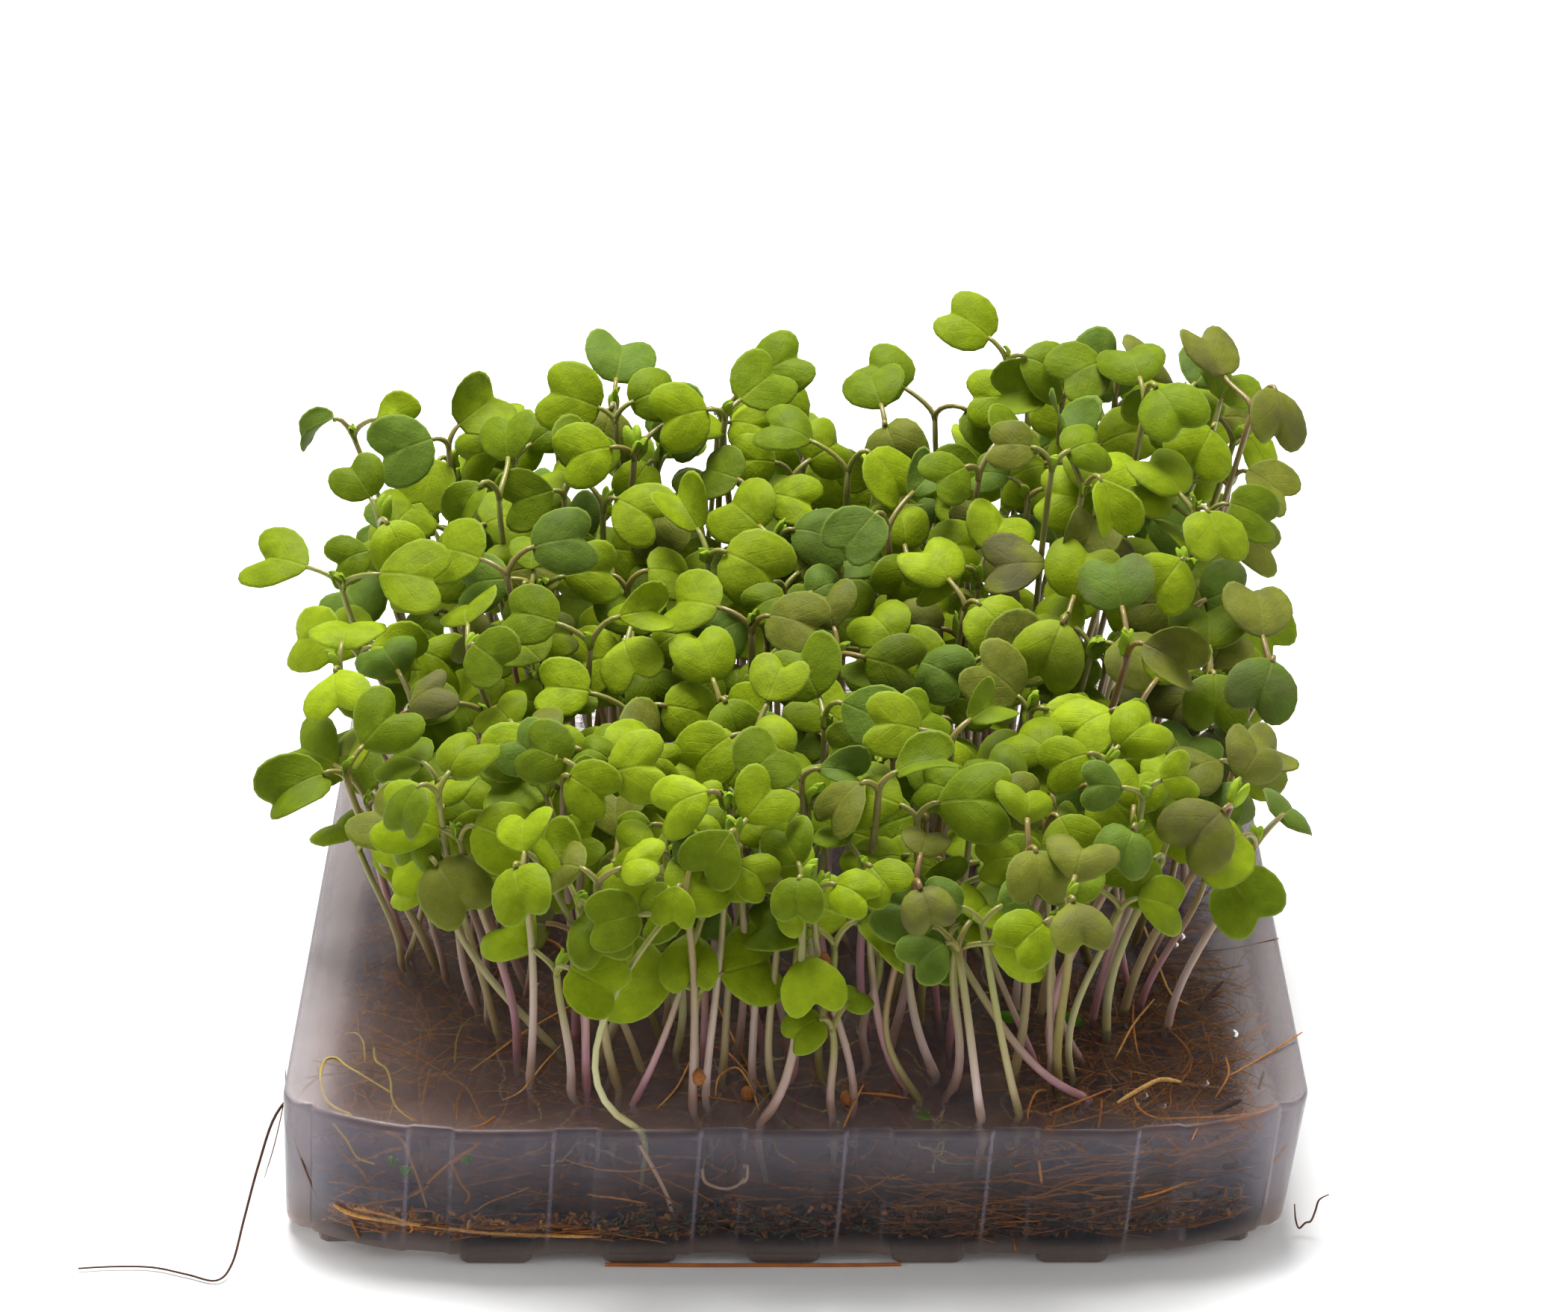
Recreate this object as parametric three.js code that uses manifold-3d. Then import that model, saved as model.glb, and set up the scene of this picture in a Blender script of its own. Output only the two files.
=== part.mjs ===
// Living microgreens in a slab of set growing gel, in millimetres with +Z up.
//
// The slab was cast in a fluted tray and turned out of it, so its front and back walls carry the
// tray's flutes and its underside the tray's ribs. A mat of coir fibre lies inside it. Brassica seedlings are rooted
// in twos on the mat, come up through the gel in plain holes, and open two notched seed leaves each.
// The origin is the middle of the underside, where the middle rib stands on the table. The front
// of the slab faces -Y.

import * as THREE from "three";
import { mergeVertices } from "three/addons/utils/BufferGeometryUtils.js";
import Module from "manifold-3d";

const wasm = await Module();
wasm.setup();

// ---------------------------------------------------------------- driving dimensions

const SLAB_WIDTH = 131;
const SLAB_DEPTH = 130;
const SLAB_TOP = 20.5; // height of the gel's upper face above the table
const STRAIGHT_HALF = 40; // the front and back walls are straight this far from the middle,
const BOW_RADIUS = 42; // then bow away on this radius to the corners,
const CORNER_RADIUS = 5; // which turn into the straight side walls on this one
const SLAB_LEAN = 1.6; // how far the foot of the soft slab has slumped towards -X

const RIB_HEIGHT = 1.2; // the ribs hold the slab this far off the table
const RIB_WIDTH = 9.4;
const RIB_SPACING = 18.4; // also the spacing of the raised panels in the front and back walls
const RIB_COUNT = 7; // each rib runs from a front panel to the back panel behind it
const FLUTE_WIDTH = 12.8; // width of each raised panel
const FLUTE_RECESS = 0.7; // how far the strips between the panels are set back

const MAT_HALF = 58; // half the side of the square coir mat
const MAT_BOTTOM = 3.8;
const MAT_TOP = 11.4;
const STRAND_RADIUS = 0.3;
const GAP = 0.4; // clearance between pieces that touch

const ROOT_LEVEL = 12.4; // height of the root knots, just over the mat
const KNOT = [4.2, 1.8, 1]; // the root knot that holds a pair of seedlings together
const ROOT_SPREAD = 1.2; // each stem's foot stands this far from the middle of its knot
const SOWN_HALF_X = 45; // the sown patch, measured to the outermost pairs
const SOWN_FRONT = -51;
const SOWN_BACK = 49;
const SOWN_COLUMNS = 7;
const SOWN_ROWS = 7;

const STEM_HALF = 0.52; // half the thickness of a stem
const PETIOLE_HALF = 0.42;
const BLADE_THICKNESS = 0.6;
const LEAF_CLEARANCE = 2.4; // least distance between sample points of two neighbours
const ATTEMPTS = 400; // tries at bending a seedling clear of its neighbours
const SEED = 4711;

// ---------------------------------------------------------------- solids and meshes

// A closed manifold-3d solid from flat lists of positions and triangle corners.
function solidOf(positions, triangles) {
  return new wasm.Manifold(
    new wasm.Mesh({
      numProp: 3,
      vertProperties: new Float32Array(positions),
      triVerts: new Uint32Array(triangles),
    }),
  );
}

// The same from a three.js geometry, whose shared corners are merged first.
function solidOfGeometry(geometry) {
  const bare = geometry.clone();
  bare.deleteAttribute("normal");
  bare.deleteAttribute("uv");
  const merged = mergeVertices(bare, 1e-4);
  return solidOf(merged.attributes.position.array, merged.index.array);
}

function meshOf(name, solid, material) {
  const { numProp, vertProperties, triVerts } = solid.getMesh();
  const count = vertProperties.length / numProp;
  const positions = new Float32Array(count * 3);
  for (let i = 0; i < count; i++) {
    positions.set(vertProperties.subarray(i * numProp, i * numProp + 3), i * 3);
  }
  const geometry = new THREE.BufferGeometry();
  geometry.setAttribute("position", new THREE.BufferAttribute(positions, 3));
  geometry.setIndex(new THREE.BufferAttribute(triVerts, 1));
  geometry.computeVertexNormals();
  const mesh = new THREE.Mesh(geometry, material);
  mesh.name = name;
  return mesh;
}

// A random-number function that gives the same run of numbers from 0 to 1 for the same seed.
function seededRandom(seed) {
  let state = seed >>> 0;
  return () => {
    state = (state + 0x6d2b79f5) >>> 0;
    let mixed = Math.imul(state ^ (state >>> 15), state | 1);
    mixed ^= mixed + Math.imul(mixed ^ (mixed >>> 7), mixed | 61);
    return ((mixed ^ (mixed >>> 14)) >>> 0) / 4294967296;
  };
}

const vector = (x, y, z) => new THREE.Vector3(x, y, z);

// ---------------------------------------------------------------- gel slab

// Where a bowed wall's arc meets the corner's smaller one: the corner's centre and the turn there.
const CORNER_X = SLAB_WIDTH / 2 - CORNER_RADIUS;
const BOW_TURN = Math.asin((CORNER_X - STRAIGHT_HALF) / (BOW_RADIUS - CORNER_RADIUS));
const BOW_CENTRE_Y = SLAB_DEPTH / 2 - BOW_RADIUS;
const CORNER_Y = BOW_CENTRE_Y + (BOW_RADIUS - CORNER_RADIUS) * Math.cos(BOW_TURN);

// A point of the front wall at its upper edge, and the direction that faces away from the slab.
function frontPoint(distance) {
  const past = Math.max(0, Math.abs(distance) - STRAIGHT_HALF) * Math.sign(distance);
  const nx = past / BOW_RADIUS;
  const ny = Math.sqrt(1 - nx * nx);
  return { x: distance, y: -BOW_CENTRE_Y - BOW_RADIUS * ny, nx, ny: -ny };
}

// How far each rib, and the panel over it, lies from the middle.
const RIB_OFFSETS = Array.from({ length: RIB_COUNT }, (_, i) => (i - (RIB_COUNT - 1) / 2) * RIB_SPACING);

// Distances along a wall where its strips begin and end, each with whether it is set back there.
function fluteEdges() {
  const slope = 0.45; // half the width of the slope between a panel and the strip beside it
  const edge = FLUTE_WIDTH / 2;
  return RIB_OFFSETS.flatMap((middle) => [
    [middle - edge - slope, true],
    [middle - edge + slope, false],
    [middle + edge - slope, false],
    [middle + edge + slope, true],
  ]);
}

// The slab's outline at its upper face, as points with their outward direction and whether they
// lie in a recessed strip between two panels. It runs anticlockwise, and its two halves match.
function slabOutline() {
  const half = fluteEdges().map(([distance, recessed]) => ({
    ...frontPoint(distance),
    recessed,
  }));
  const cornerPoint = (turn) => ({
    x: CORNER_X + CORNER_RADIUS * Math.sin(turn),
    y: -CORNER_Y - CORNER_RADIUS * Math.cos(turn),
    nx: Math.sin(turn),
    ny: -Math.cos(turn),
    recessed: false,
  });
  const cornerTurns = [BOW_TURN, (BOW_TURN + Math.PI / 2) / 2, Math.PI / 2];
  half.push(...cornerTurns.map(cornerPoint));
  const behind = cornerTurns.map(cornerPoint).toReversed();
  half.push(...behind.map((point) => ({ ...point, y: -point.y, ny: -point.ny })));
  const turned = half.map(({ x, y, nx, ny, recessed }) => ({ x: -x, y: -y, nx: -nx, ny: -ny, recessed }));
  return [...half, ...turned];
}

// A closed solid lofted through rings of the same number of points, with flat ends.
function loft(rings) {
  const count = rings[0].length;
  const positions = rings.flat(2);
  const triangles = [];
  for (let level = 0; level + 1 < rings.length; level++) {
    for (let i = 0; i < count; i++) {
      const next = (i + 1) % count;
      const low = level * count;
      const high = low + count;
      triangles.push(low + i, low + next, high + next);
      triangles.push(low + i, high + next, high + i);
    }
  }
  const capOf = (ring) =>
    THREE.ShapeUtils.triangulateShape(
      ring.map(([x, y]) => new THREE.Vector2(x, y)),
      [],
    );
  const top = (rings.length - 1) * count;
  for (const [a, b, c] of capOf(rings[0])) triangles.push(a, c, b);
  for (const [a, b, c] of capOf(rings.at(-1))) triangles.push(top + a, top + b, top + c);
  return solidOf(positions, triangles);
}

// The slab before the mat and the stems are let into it.
function solidSlab() {
  const outline = slabOutline();
  const levels = [
    { z: RIB_HEIGHT, inset: 1.6, flute: 0.5 },
    { z: RIB_HEIGHT + 0.7, inset: 1, flute: 1 },
    { z: SLAB_TOP, inset: 0, flute: 1 },
  ];
  const rings = levels.map(({ z, inset, flute }) => {
    const slump = SLAB_LEAN * (1 - z / SLAB_TOP);
    return outline.map(({ x, y, nx, ny, recessed }) => {
      const back = inset + (recessed ? FLUTE_RECESS * flute : 0);
      return [x - nx * back - slump, y - ny * back, z];
    });
  });
  return loft(rings);
}

// One rib of the underside: a long bar with sloping flanks, whose flat foot stands on the table.
// It ends just under the edge of the slab's foot, so the outermost two are shorter.
function rib(offset) {
  const x = offset - SLAB_LEAN;
  const footHalf = RIB_WIDTH / 2 - 0.5;
  const flankTop = RIB_HEIGHT + 0.8;
  const profile = new THREE.Shape();
  profile.moveTo(-footHalf, 0);
  profile.lineTo(footHalf, 0);
  profile.lineTo(RIB_WIDTH / 2, flankTop);
  profile.lineTo(-RIB_WIDTH / 2, flankTop);
  const half = -frontPoint(Math.abs(offset) + RIB_WIDTH / 2).y - 1.3;
  const bar = new THREE.ExtrudeGeometry(profile, { depth: 2 * half, bevelEnabled: false });
  bar.rotateX(Math.PI / 2);
  bar.translate(x, half, 0);
  return solidOfGeometry(bar);
}

// A square-cornered prism with rounded upright edges, for the room that the mat lies in.
function roundedPrism(half, corner, bottom, top) {
  const outline = [];
  const arcSteps = 3;
  for (let side = 0; side < 4; side++) {
    for (let i = 0; i <= arcSteps; i++) {
      const turn = ((side + i / arcSteps) * Math.PI) / 2;
      const centre = [
        [1, 1],
        [-1, 1],
        [-1, -1],
        [1, -1],
      ][side].map((sign) => sign * (half - corner));
      outline.push([centre[0] + corner * Math.cos(turn), centre[1] + corner * Math.sin(turn)]);
    }
  }
  return loft([bottom, top].map((z) => outline.map(([x, y]) => [x, y, z])));
}

// ---------------------------------------------------------------- coir mat and strand

// The mat's ragged outline, pulled in by an inset.
function matOutline(inset) {
  const count = 44;
  return Array.from({ length: count }, (_, i) => {
    const turn = (i / count) * 2 * Math.PI;
    const [c, s] = [Math.cos(turn), Math.sin(turn)];
    const squareness = 7; // a superellipse of this power is a square with rounded corners
    const reach =
      MAT_HALF / (Math.abs(c) ** squareness + Math.abs(s) ** squareness) ** (1 / squareness);
    const ragged = 0.8 * Math.sin(12 * turn + 0.6) + 0.6 * Math.sin(19 * turn + 2.1);
    const radius = reach - 1.4 + ragged - inset;
    return [radius * c, radius * s];
  });
}

function coirMat() {
  const levels = [
    { z: MAT_BOTTOM, inset: 1.6 },
    { z: MAT_BOTTOM + 2, inset: 0 },
    { z: MAT_TOP - 1.5, inset: 0.4 },
    { z: MAT_TOP, inset: 2.2 },
  ];
  return loft(levels.map(({ z, inset }) => matOutline(inset).map(([x, y]) => [x, y, z])));
}

// The long coir fibre that comes out of the left wall near the front and trails on the table.
const STRAND_ROUTE = [
  [-58, -47.5, 17],
  [-63.4, -49.6, 17.6],
  [-66.8, -52.2, 15.4],
  [-69, -56, 10],
  [-70.6, -61, 5],
  [-71.8, -65.5, 1.4],
  [-73.6, -68, 0.45],
  [-77.5, -66.6, 0.45],
  [-82, -65, 0.45],
  [-87, -64.8, 0.45],
  [-91.5, -65.2, 0.45],
];

function coirStrand(radius, steps, endTrim) {
  const whole = new THREE.CatmullRomCurve3(STRAND_ROUTE.map((p) => vector(...p)));
  const points = whole.getSpacedPoints(steps * 4);
  const kept = points.slice(0, points.length - endTrim);
  const profile = new THREE.Shape();
  const sides = 5;
  for (let i = 0; i < sides; i++) {
    const turn = (i / sides) * 2 * Math.PI;
    const [x, y] = [radius * Math.cos(turn), radius * Math.sin(turn)];
    if (i) profile.lineTo(x, y);
    else profile.moveTo(x, y);
  }
  const tube = new THREE.ExtrudeGeometry(profile, {
    steps,
    extrudePath: new THREE.CatmullRomCurve3(kept),
  });
  return solidOfGeometry(tube);
}

// ---------------------------------------------------------------- where the seedlings stand

// The pairs stand on a loosely staggered grid, which is narrower in front and bare at its corners.
function pairPlaces() {
  const places = [];
  for (let row = 0; row < SOWN_ROWS; row++) {
    for (let column = 0; column < SOWN_COLUMNS; column++) {
      const random = seededRandom(SEED + 97 * row + 7 * column);
      const stagger = row % 2 ? 0.25 : -0.25;
      const u = ((column + stagger) / (SOWN_COLUMNS - 1)) * 2 - 1;
      const v = row / (SOWN_ROWS - 1);
      const halfHere = SOWN_HALF_X * Math.min(1, 0.74 + 1.1 * v);
      const x = u * halfHere + (random() - 0.5) * 5;
      const y = SOWN_FRONT + v * (SOWN_BACK - SOWN_FRONT) + (random() - 0.5) * 5;
      const bareCorner = row === 0 && (column === 0 || column === SOWN_COLUMNS - 1);
      if (!bareCorner) places.push({ x, y, turn: random() * Math.PI });
    }
  }
  return places;
}

// Height of the fork above the gel: short in front, tall at the back and tallest at the right back.
function forkHeight(x, y) {
  const towardsBack = (y - SOWN_FRONT) / (SOWN_BACK - SOWN_FRONT);
  const tallPatch = Math.exp(-(((x - 40) / 16) ** 2) - ((y - 34) / 24) ** 2);
  const lowPatch = Math.exp(-(((x - 17) / 8) ** 2) - ((y - 40) / 20) ** 2);
  return 24 + 24 * Math.min(1, 1.25 * towardsBack) + 16 * tallPatch - 6 * lowPatch;
}

// One seedling of a pair, drawn at random: its path from root to fork and the frames of its leaves.
function drawSeedling(random, place, side) {
  const spread = 2.6 + 2.2 * random();
  const x = place.x + side * spread * Math.cos(place.turn);
  const y = place.y + side * spread * Math.sin(place.turn);
  const height = forkHeight(x, y) * (0.66 + 0.38 * random());
  const reach = height / 45;
  const edgeward = Math.max(-1, Math.min(1, x / SOWN_HALF_X)) ** 3;
  const leanX = reach * (edgeward * 11 + (random() - 0.5) * 10);
  const leanY = reach * ((y / SOWN_BACK) * 4 - 4 + (random() - 0.5) * 12);
  const root = vector(
    place.x + side * ROOT_SPREAD * Math.cos(place.turn),
    place.y + side * ROOT_SPREAD * Math.sin(place.turn),
    ROOT_LEVEL,
  );
  const base = vector(x, y, SLAB_TOP);
  const fork = vector(x + leanX, y + leanY, SLAB_TOP + height);
  const third = height / 3;
  const lower = vector(
    x + leanX * 0.1 + (random() - 0.5) * 6,
    y + leanY * 0.1 + (random() - 0.5) * 6,
    SLAB_TOP + third,
  );
  const upper = vector(
    fork.x - leanX * 0.25 + (random() - 0.5) * 3,
    fork.y - leanY * 0.25 + (random() - 0.5) * 3,
    fork.z - third,
  );
  const stem = new THREE.CubicBezierCurve3(base, lower, upper, fork);
  const azimuth = random() * 2 * Math.PI;
  const size = 0.9 + 0.26 * random();
  const facing = vector(
    0.2 * (x / SOWN_HALF_X) + (random() - 0.5) * 0.8,
    -0.62 + (random() - 0.5) * 0.7,
    0.78,
  );
  const leaves = [0, 1].map((which) => {
    const turn = azimuth + which * Math.PI + (random() - 0.5) * 0.7;
    const outward = vector(Math.cos(turn), Math.sin(turn), 0);
    const normal = facing.clone().addScaledVector(outward, 0.2 + 0.3 * (random() - 0.5));
    normal.x += (random() - 0.5) * 0.35;
    normal.y += (random() - 0.5) * 0.35;
    normal.normalize();
    const length = size * (7 + 1.6 * random());
    const width = length * (1.14 + 0.2 * random());
    const petiole = 3.6 + 3.4 * random();
    const lift = 0.35 + 0.5 * random(); // angle of the petiole above the horizontal
    const foot = fork.clone().addScaledVector(outward, petiole * Math.cos(lift));
    foot.z += petiole * Math.sin(lift);
    const along = outward.clone().setZ(0.25);
    along.addScaledVector(normal, -along.dot(normal)).normalize();
    const across = along.clone().cross(normal);
    const fold = 0.05 + 0.3 * random(); // rise of the lobes on each side of the midrib
    const droop = 0.25 * random() - 0.05; // fall of the tip below the plane of the base
    return { foot, along, across, normal, length, width, fold, droop };
  });
  return { root, base, fork, stem, leaves };
}

// Place of a point of the blade: x from -1 to 1 across it and y from 0 to 1 along it.
function bladePoint(leaf, x, y, lift) {
  const { foot, along, across, normal, length, width, fold, droop } = leaf;
  const rise = (fold * Math.abs(x) * width) / 2 - droop * y * y * length;
  return foot
    .clone()
    .addScaledVector(across, (x * width) / 2)
    .addScaledVector(along, y * length)
    .addScaledVector(normal, rise + lift);
}

// Points spread over a seedling, by which its distance from its neighbours is judged.
function samplePoints(seedling) {
  const samples = [];
  for (let i = 0; i <= 12; i++) samples.push(seedling.stem.getPoint(i / 12));
  for (const leaf of seedling.leaves) {
    samples.push(seedling.fork.clone().lerp(leaf.foot, 0.5));
    for (const y of [0.08, 0.28, 0.48, 0.68, 0.88]) {
      const half = y < 0.2 ? 0.45 : y > 0.8 ? 0.75 : 0.95;
      for (const share of [-1, -0.66, -0.33, 0, 0.33, 0.66, 1]) {
        samples.push(bladePoint(leaf, share * half, y, 0));
      }
    }
  }
  return samples;
}

// The pairs of seedlings, each bent clear of those already there.
function growPairs() {
  const taken = [];
  const limit = LEAF_CLEARANCE ** 2;
  const isClear = (samples) =>
    samples.every((p) => taken.every((q) => p.distanceToSquared(q) >= limit));
  return pairPlaces().map((place, pair) => {
    const seedlings = [];
    for (const side of [1, -1]) {
      for (let attempt = 0; attempt < ATTEMPTS; attempt++) {
        const random = seededRandom(SEED + 10007 * (pair + 1) + 503 * side + 13 * attempt);
        const seedling = drawSeedling(random, place, side);
        const samples = samplePoints(seedling);
        if (isClear(samples)) {
          seedlings.push(seedling);
          taken.push(...samples);
          break;
        }
      }
    }
    return { place, seedlings };
  });
}

// ---------------------------------------------------------------- seedling solids

// Half of the seed leaf's outline, from beside its foot to the top of its lobe.
const LOBE = [
  [0.6, 0.09],
  [0.98, 0.42],
  [0.92, 0.78],
  [0.5, 1],
];
const NOTCH = [0, 0.85];

// The four corners of a square section: upper left, lower left, lower right, upper right.
function ringAt(centre, tangent, across, halfWidth, halfHeight) {
  const side = across.clone().addScaledVector(tangent, -across.dot(tangent)).normalize();
  const up = side.clone().cross(tangent);
  return [
    [-1, 1],
    [-1, -1],
    [1, -1],
    [1, 1],
  ].map(([s, u]) =>
    centre.clone().addScaledVector(side, s * halfWidth).addScaledVector(up, u * halfHeight),
  );
}

// A closed solid that runs through the rings and opens into the leaf's blade at the last of them.
function leafSolid(rings, leaf) {
  const positions = [];
  const triangles = [];
  const add = (point) => positions.push(point.x, point.y, point.z) / 3 - 1;
  const numbered = rings.map((ring) => ring.map(add));
  const [a, b, c, d] = numbered[0];
  triangles.push(a, b, c, a, c, d);
  for (let i = 0; i + 1 < numbered.length; i++) {
    for (let side = 0; side < 4; side++) {
      const next = (side + 1) % 4;
      const [near, nearNext] = [numbered[i][side], numbered[i][next]];
      const [far, farNext] = [numbered[i + 1][side], numbered[i + 1][next]];
      triangles.push(near, far, farNext, near, farNext, nearNext);
    }
  }
  const half = BLADE_THICKNESS / 2;
  const edge = [...LOBE.map(([x, y]) => [-x, y]), NOTCH, ...LOBE.toReversed()];
  const [upperLeft, lowerLeft, lowerRight, upperRight] = numbered.at(-1);
  const upper = [upperLeft, ...edge.map(([x, y]) => add(bladePoint(leaf, x, y, half))), upperRight];
  const lower = [lowerLeft, ...edge.map(([x, y]) => add(bladePoint(leaf, x, y, -half))), lowerRight];
  const notch = LOBE.length + 1; // both faces fan out from the notch
  upper.forEach((here, i) => {
    const next = (i + 1) % upper.length;
    if (i !== notch && next !== notch) {
      triangles.push(upper[notch], upper[next], here, lower[notch], lower[i], lower[next]);
    }
    if (next) triangles.push(here, upper[next], lower[next], here, lower[next], lower[i]);
  });
  return solidOf(positions, triangles);
}

// The ring at the foot of the blade, where the stalk widens into it.
const footRing = (leaf) =>
  ringAt(leaf.foot, leaf.along, leaf.across, PETIOLE_HALF, BLADE_THICKNESS / 2);

function seedlingSolid(seedling) {
  const { root, base, fork, stem, leaves } = seedling;
  const [first, second] = leaves;
  const inGel = base.clone().sub(root).normalize();
  const collar = base.clone().addScaledVector(inGel, 0.6);
  const stemRing = (point, tangent, half) => ringAt(point, tangent, first.across, half, half);
  const rings = [
    stemRing(root, inGel, STEM_HALF * 0.8),
    stemRing(collar, inGel.clone().add(stem.getTangent(0)).normalize(), STEM_HALF),
    stemRing(stem.getPoint(0.5), stem.getTangent(0.5), STEM_HALF),
    stemRing(fork, stem.getTangent(1), STEM_HALF * 0.9),
    footRing(first),
  ];
  const start = fork.clone().addScaledVector(stem.getTangent(1), -0.7);
  const leaving = second.foot.clone().sub(start).normalize();
  const secondRings = [
    ringAt(start, leaving, second.across, PETIOLE_HALF * 0.8, PETIOLE_HALF * 0.7),
    footRing(second),
  ];
  return leafSolid(rings, first).add(leafSolid(secondRings, second));
}

// The flat knot of matted root that a pair of stems grows from.
function rootKnot({ x, y, turn }) {
  const knot = new THREE.BoxGeometry(...KNOT);
  knot.rotateZ(turn);
  knot.translate(x, y, ROOT_LEVEL);
  return solidOfGeometry(knot);
}

// The plain hole that a stem stands in: a square prism from the mat's room to above the gel.
function stemHole({ root, base, leaves }) {
  const direction = base.clone().sub(root).normalize();
  const half = STEM_HALF + GAP;
  const [bottom, top] = [root, base].map((end, i) =>
    ringAt(
      end.clone().addScaledVector(direction, i ? 1.5 : -1.5),
      direction,
      leaves[0].across,
      half,
      half,
    ),
  );
  const positions = [...bottom, ...top].flatMap((p) => [p.x, p.y, p.z]);
  const triangles = [0, 1, 2, 0, 2, 3, 4, 6, 5, 4, 7, 6];
  for (let side = 0; side < 4; side++) {
    const next = (side + 1) % 4;
    triangles.push(side, side + 4, next + 4, side, next + 4, next);
  }
  return solidOf(positions, triangles);
}

// ---------------------------------------------------------------- the part

const material = (color, roughness) =>
  new THREE.MeshStandardMaterial({ color, roughness, metalness: 0 });
const GEL = material(0x8d8796, 0.25);
const COIR = material(0x5d3a20, 0.95);
const SEEDLING = material(0x6d9420, 0.55);

const pairs = growPairs();
const seedlings = pairs.flatMap((pair) => pair.seedlings);

const ribs = RIB_OFFSETS.map(rib);
const matRoom = roundedPrism(MAT_HALF + GAP, 9, MAT_BOTTOM - GAP, ROOT_LEVEL + 1.4);
const slab = ribs
  .reduce((joined, one) => joined.add(one), solidSlab())
  .subtract(wasm.Manifold.union([matRoom, ...seedlings.map(stemHole)]))
  .subtract(coirStrand(STRAND_RADIUS + GAP, 16, 20));

const part = new THREE.Group();
part.add(meshOf("gel_slab", slab, GEL));
part.add(meshOf("coir_mat", coirMat(), COIR));
part.add(meshOf("coir_strand", coirStrand(STRAND_RADIUS, 18, 0), COIR));
pairs.forEach((pair, i) => {
  const knot = rootKnot(pair.place);
  const joined = pair.seedlings.map(seedlingSolid).reduce((sum, one) => sum.add(one), knot);
  const name = `seedlings_${String(i + 1).padStart(2, "0")}`;
  part.add(meshOf(name, joined, SEEDLING));
});

export default part;
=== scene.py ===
import math

import bpy
import numpy as np
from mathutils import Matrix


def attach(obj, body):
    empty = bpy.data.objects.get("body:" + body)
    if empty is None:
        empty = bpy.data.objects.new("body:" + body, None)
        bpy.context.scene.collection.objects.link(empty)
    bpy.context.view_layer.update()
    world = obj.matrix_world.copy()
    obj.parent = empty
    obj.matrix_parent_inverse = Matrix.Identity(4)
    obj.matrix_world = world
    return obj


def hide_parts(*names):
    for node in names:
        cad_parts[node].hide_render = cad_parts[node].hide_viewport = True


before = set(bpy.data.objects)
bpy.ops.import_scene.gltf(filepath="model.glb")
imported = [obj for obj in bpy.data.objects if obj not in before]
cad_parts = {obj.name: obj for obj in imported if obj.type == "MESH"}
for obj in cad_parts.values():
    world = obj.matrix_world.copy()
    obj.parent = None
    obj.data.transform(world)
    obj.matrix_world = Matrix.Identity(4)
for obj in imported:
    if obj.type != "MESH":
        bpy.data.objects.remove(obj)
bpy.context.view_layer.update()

MM = 0.001  # everything is measured in millimetres, and made in metres


# ---------------------------------------------------------------------------------------------
# Studio. A wide white table under a soft overhead light and a bright surround, seen by a long
# lens that looks down on the slab's front. None of it belongs to the object.

CAMERA_PLACE = (-2.6, -561.8, 328.7)
CAMERA_PITCH = 25.94  # degrees below the horizon
CAMERA_YAW = 0.12
CAMERA_LENS = 106.3
SURROUND_FRONT = 0.37  # brightness of the room behind the camera
SURROUND_BACK = 0.72  # and of the white sweep behind the slab
SIDE_PLACE = (0.9, -0.3, 0.3)
SIDE_TILT, SIDE_TURN = 75, 71.5  # degrees, so that both strips face the slab
SIDE_SIZE = (0.2, 0.6)
SIDE_POWER = 1.2
KEY_PLACE = (-0.06, 0.3, 0.86)  # overhead and a little behind, in metres
KEY_TURN = (-0.36, -0.07, 0)  # radians from straight down
KEY_SIZE = 0.46
KEY_POWER = 16.0
TABLE_RADIUS = 3.0


class Field:
    """A number, colour or vector that changes over a surface: one socket of a shader tree."""

    def __init__(self, tree, socket):
        self.tree = tree
        self.socket = socket

    def node(self, kind, settings, inputs, output=0):
        """A new node of the tree. Settings are set first, then the inputs, and an output is given."""
        made = self.tree.nodes.new(kind)
        for name, value in settings.items():
            if name == "stops":
                set_stops(made.color_ramp, value)
            else:
                setattr(made, name, value)
        for name, value in inputs.items():
            if isinstance(value, Field):
                self.tree.links.new(value.socket, made.inputs[name])
            else:
                made.inputs[name].default_value = value
        return Field(self.tree, made.outputs[output])

    def math(self, operation, *values):
        return self.node("ShaderNodeMath", {"operation": operation}, dict(enumerate(values)))

    def __add__(self, other):
        return self.math("ADD", self, other)

    __radd__ = __add__

    def __sub__(self, other):
        return self.math("SUBTRACT", self, other)

    def __rsub__(self, other):
        return self.math("SUBTRACT", other, self)

    def __mul__(self, other):
        return self.math("MULTIPLY", self, other)

    __rmul__ = __mul__

    def step(self, low, high):
        """0 below low, 1 above high, and a smooth rise between them."""
        settings = {"interpolation_type": "SMOOTHSTEP"}
        return self.node("ShaderNodeMapRange", settings, {0: self, 1: low, 2: high})

    def mix(self, low, high):
        """The colour low where this is 0, and high where it is 1."""
        settings = {"data_type": "RGBA"}
        return self.node("ShaderNodeMix", settings, {0: self, 6: low, 7: high}, output=2)

    def split(self):
        """The three parts of this vector."""
        parts = self.node("ShaderNodeSeparateXYZ", {}, {0: self}).socket.node.outputs
        return [Field(self.tree, part) for part in parts]

    def tinted(self, colour):
        """This colour multiplied by another."""
        settings = {"data_type": "RGBA", "blend_type": "MULTIPLY"}
        return self.node("ShaderNodeMix", settings, {0: 1.0, 6: self, 7: colour}, output=2)


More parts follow.
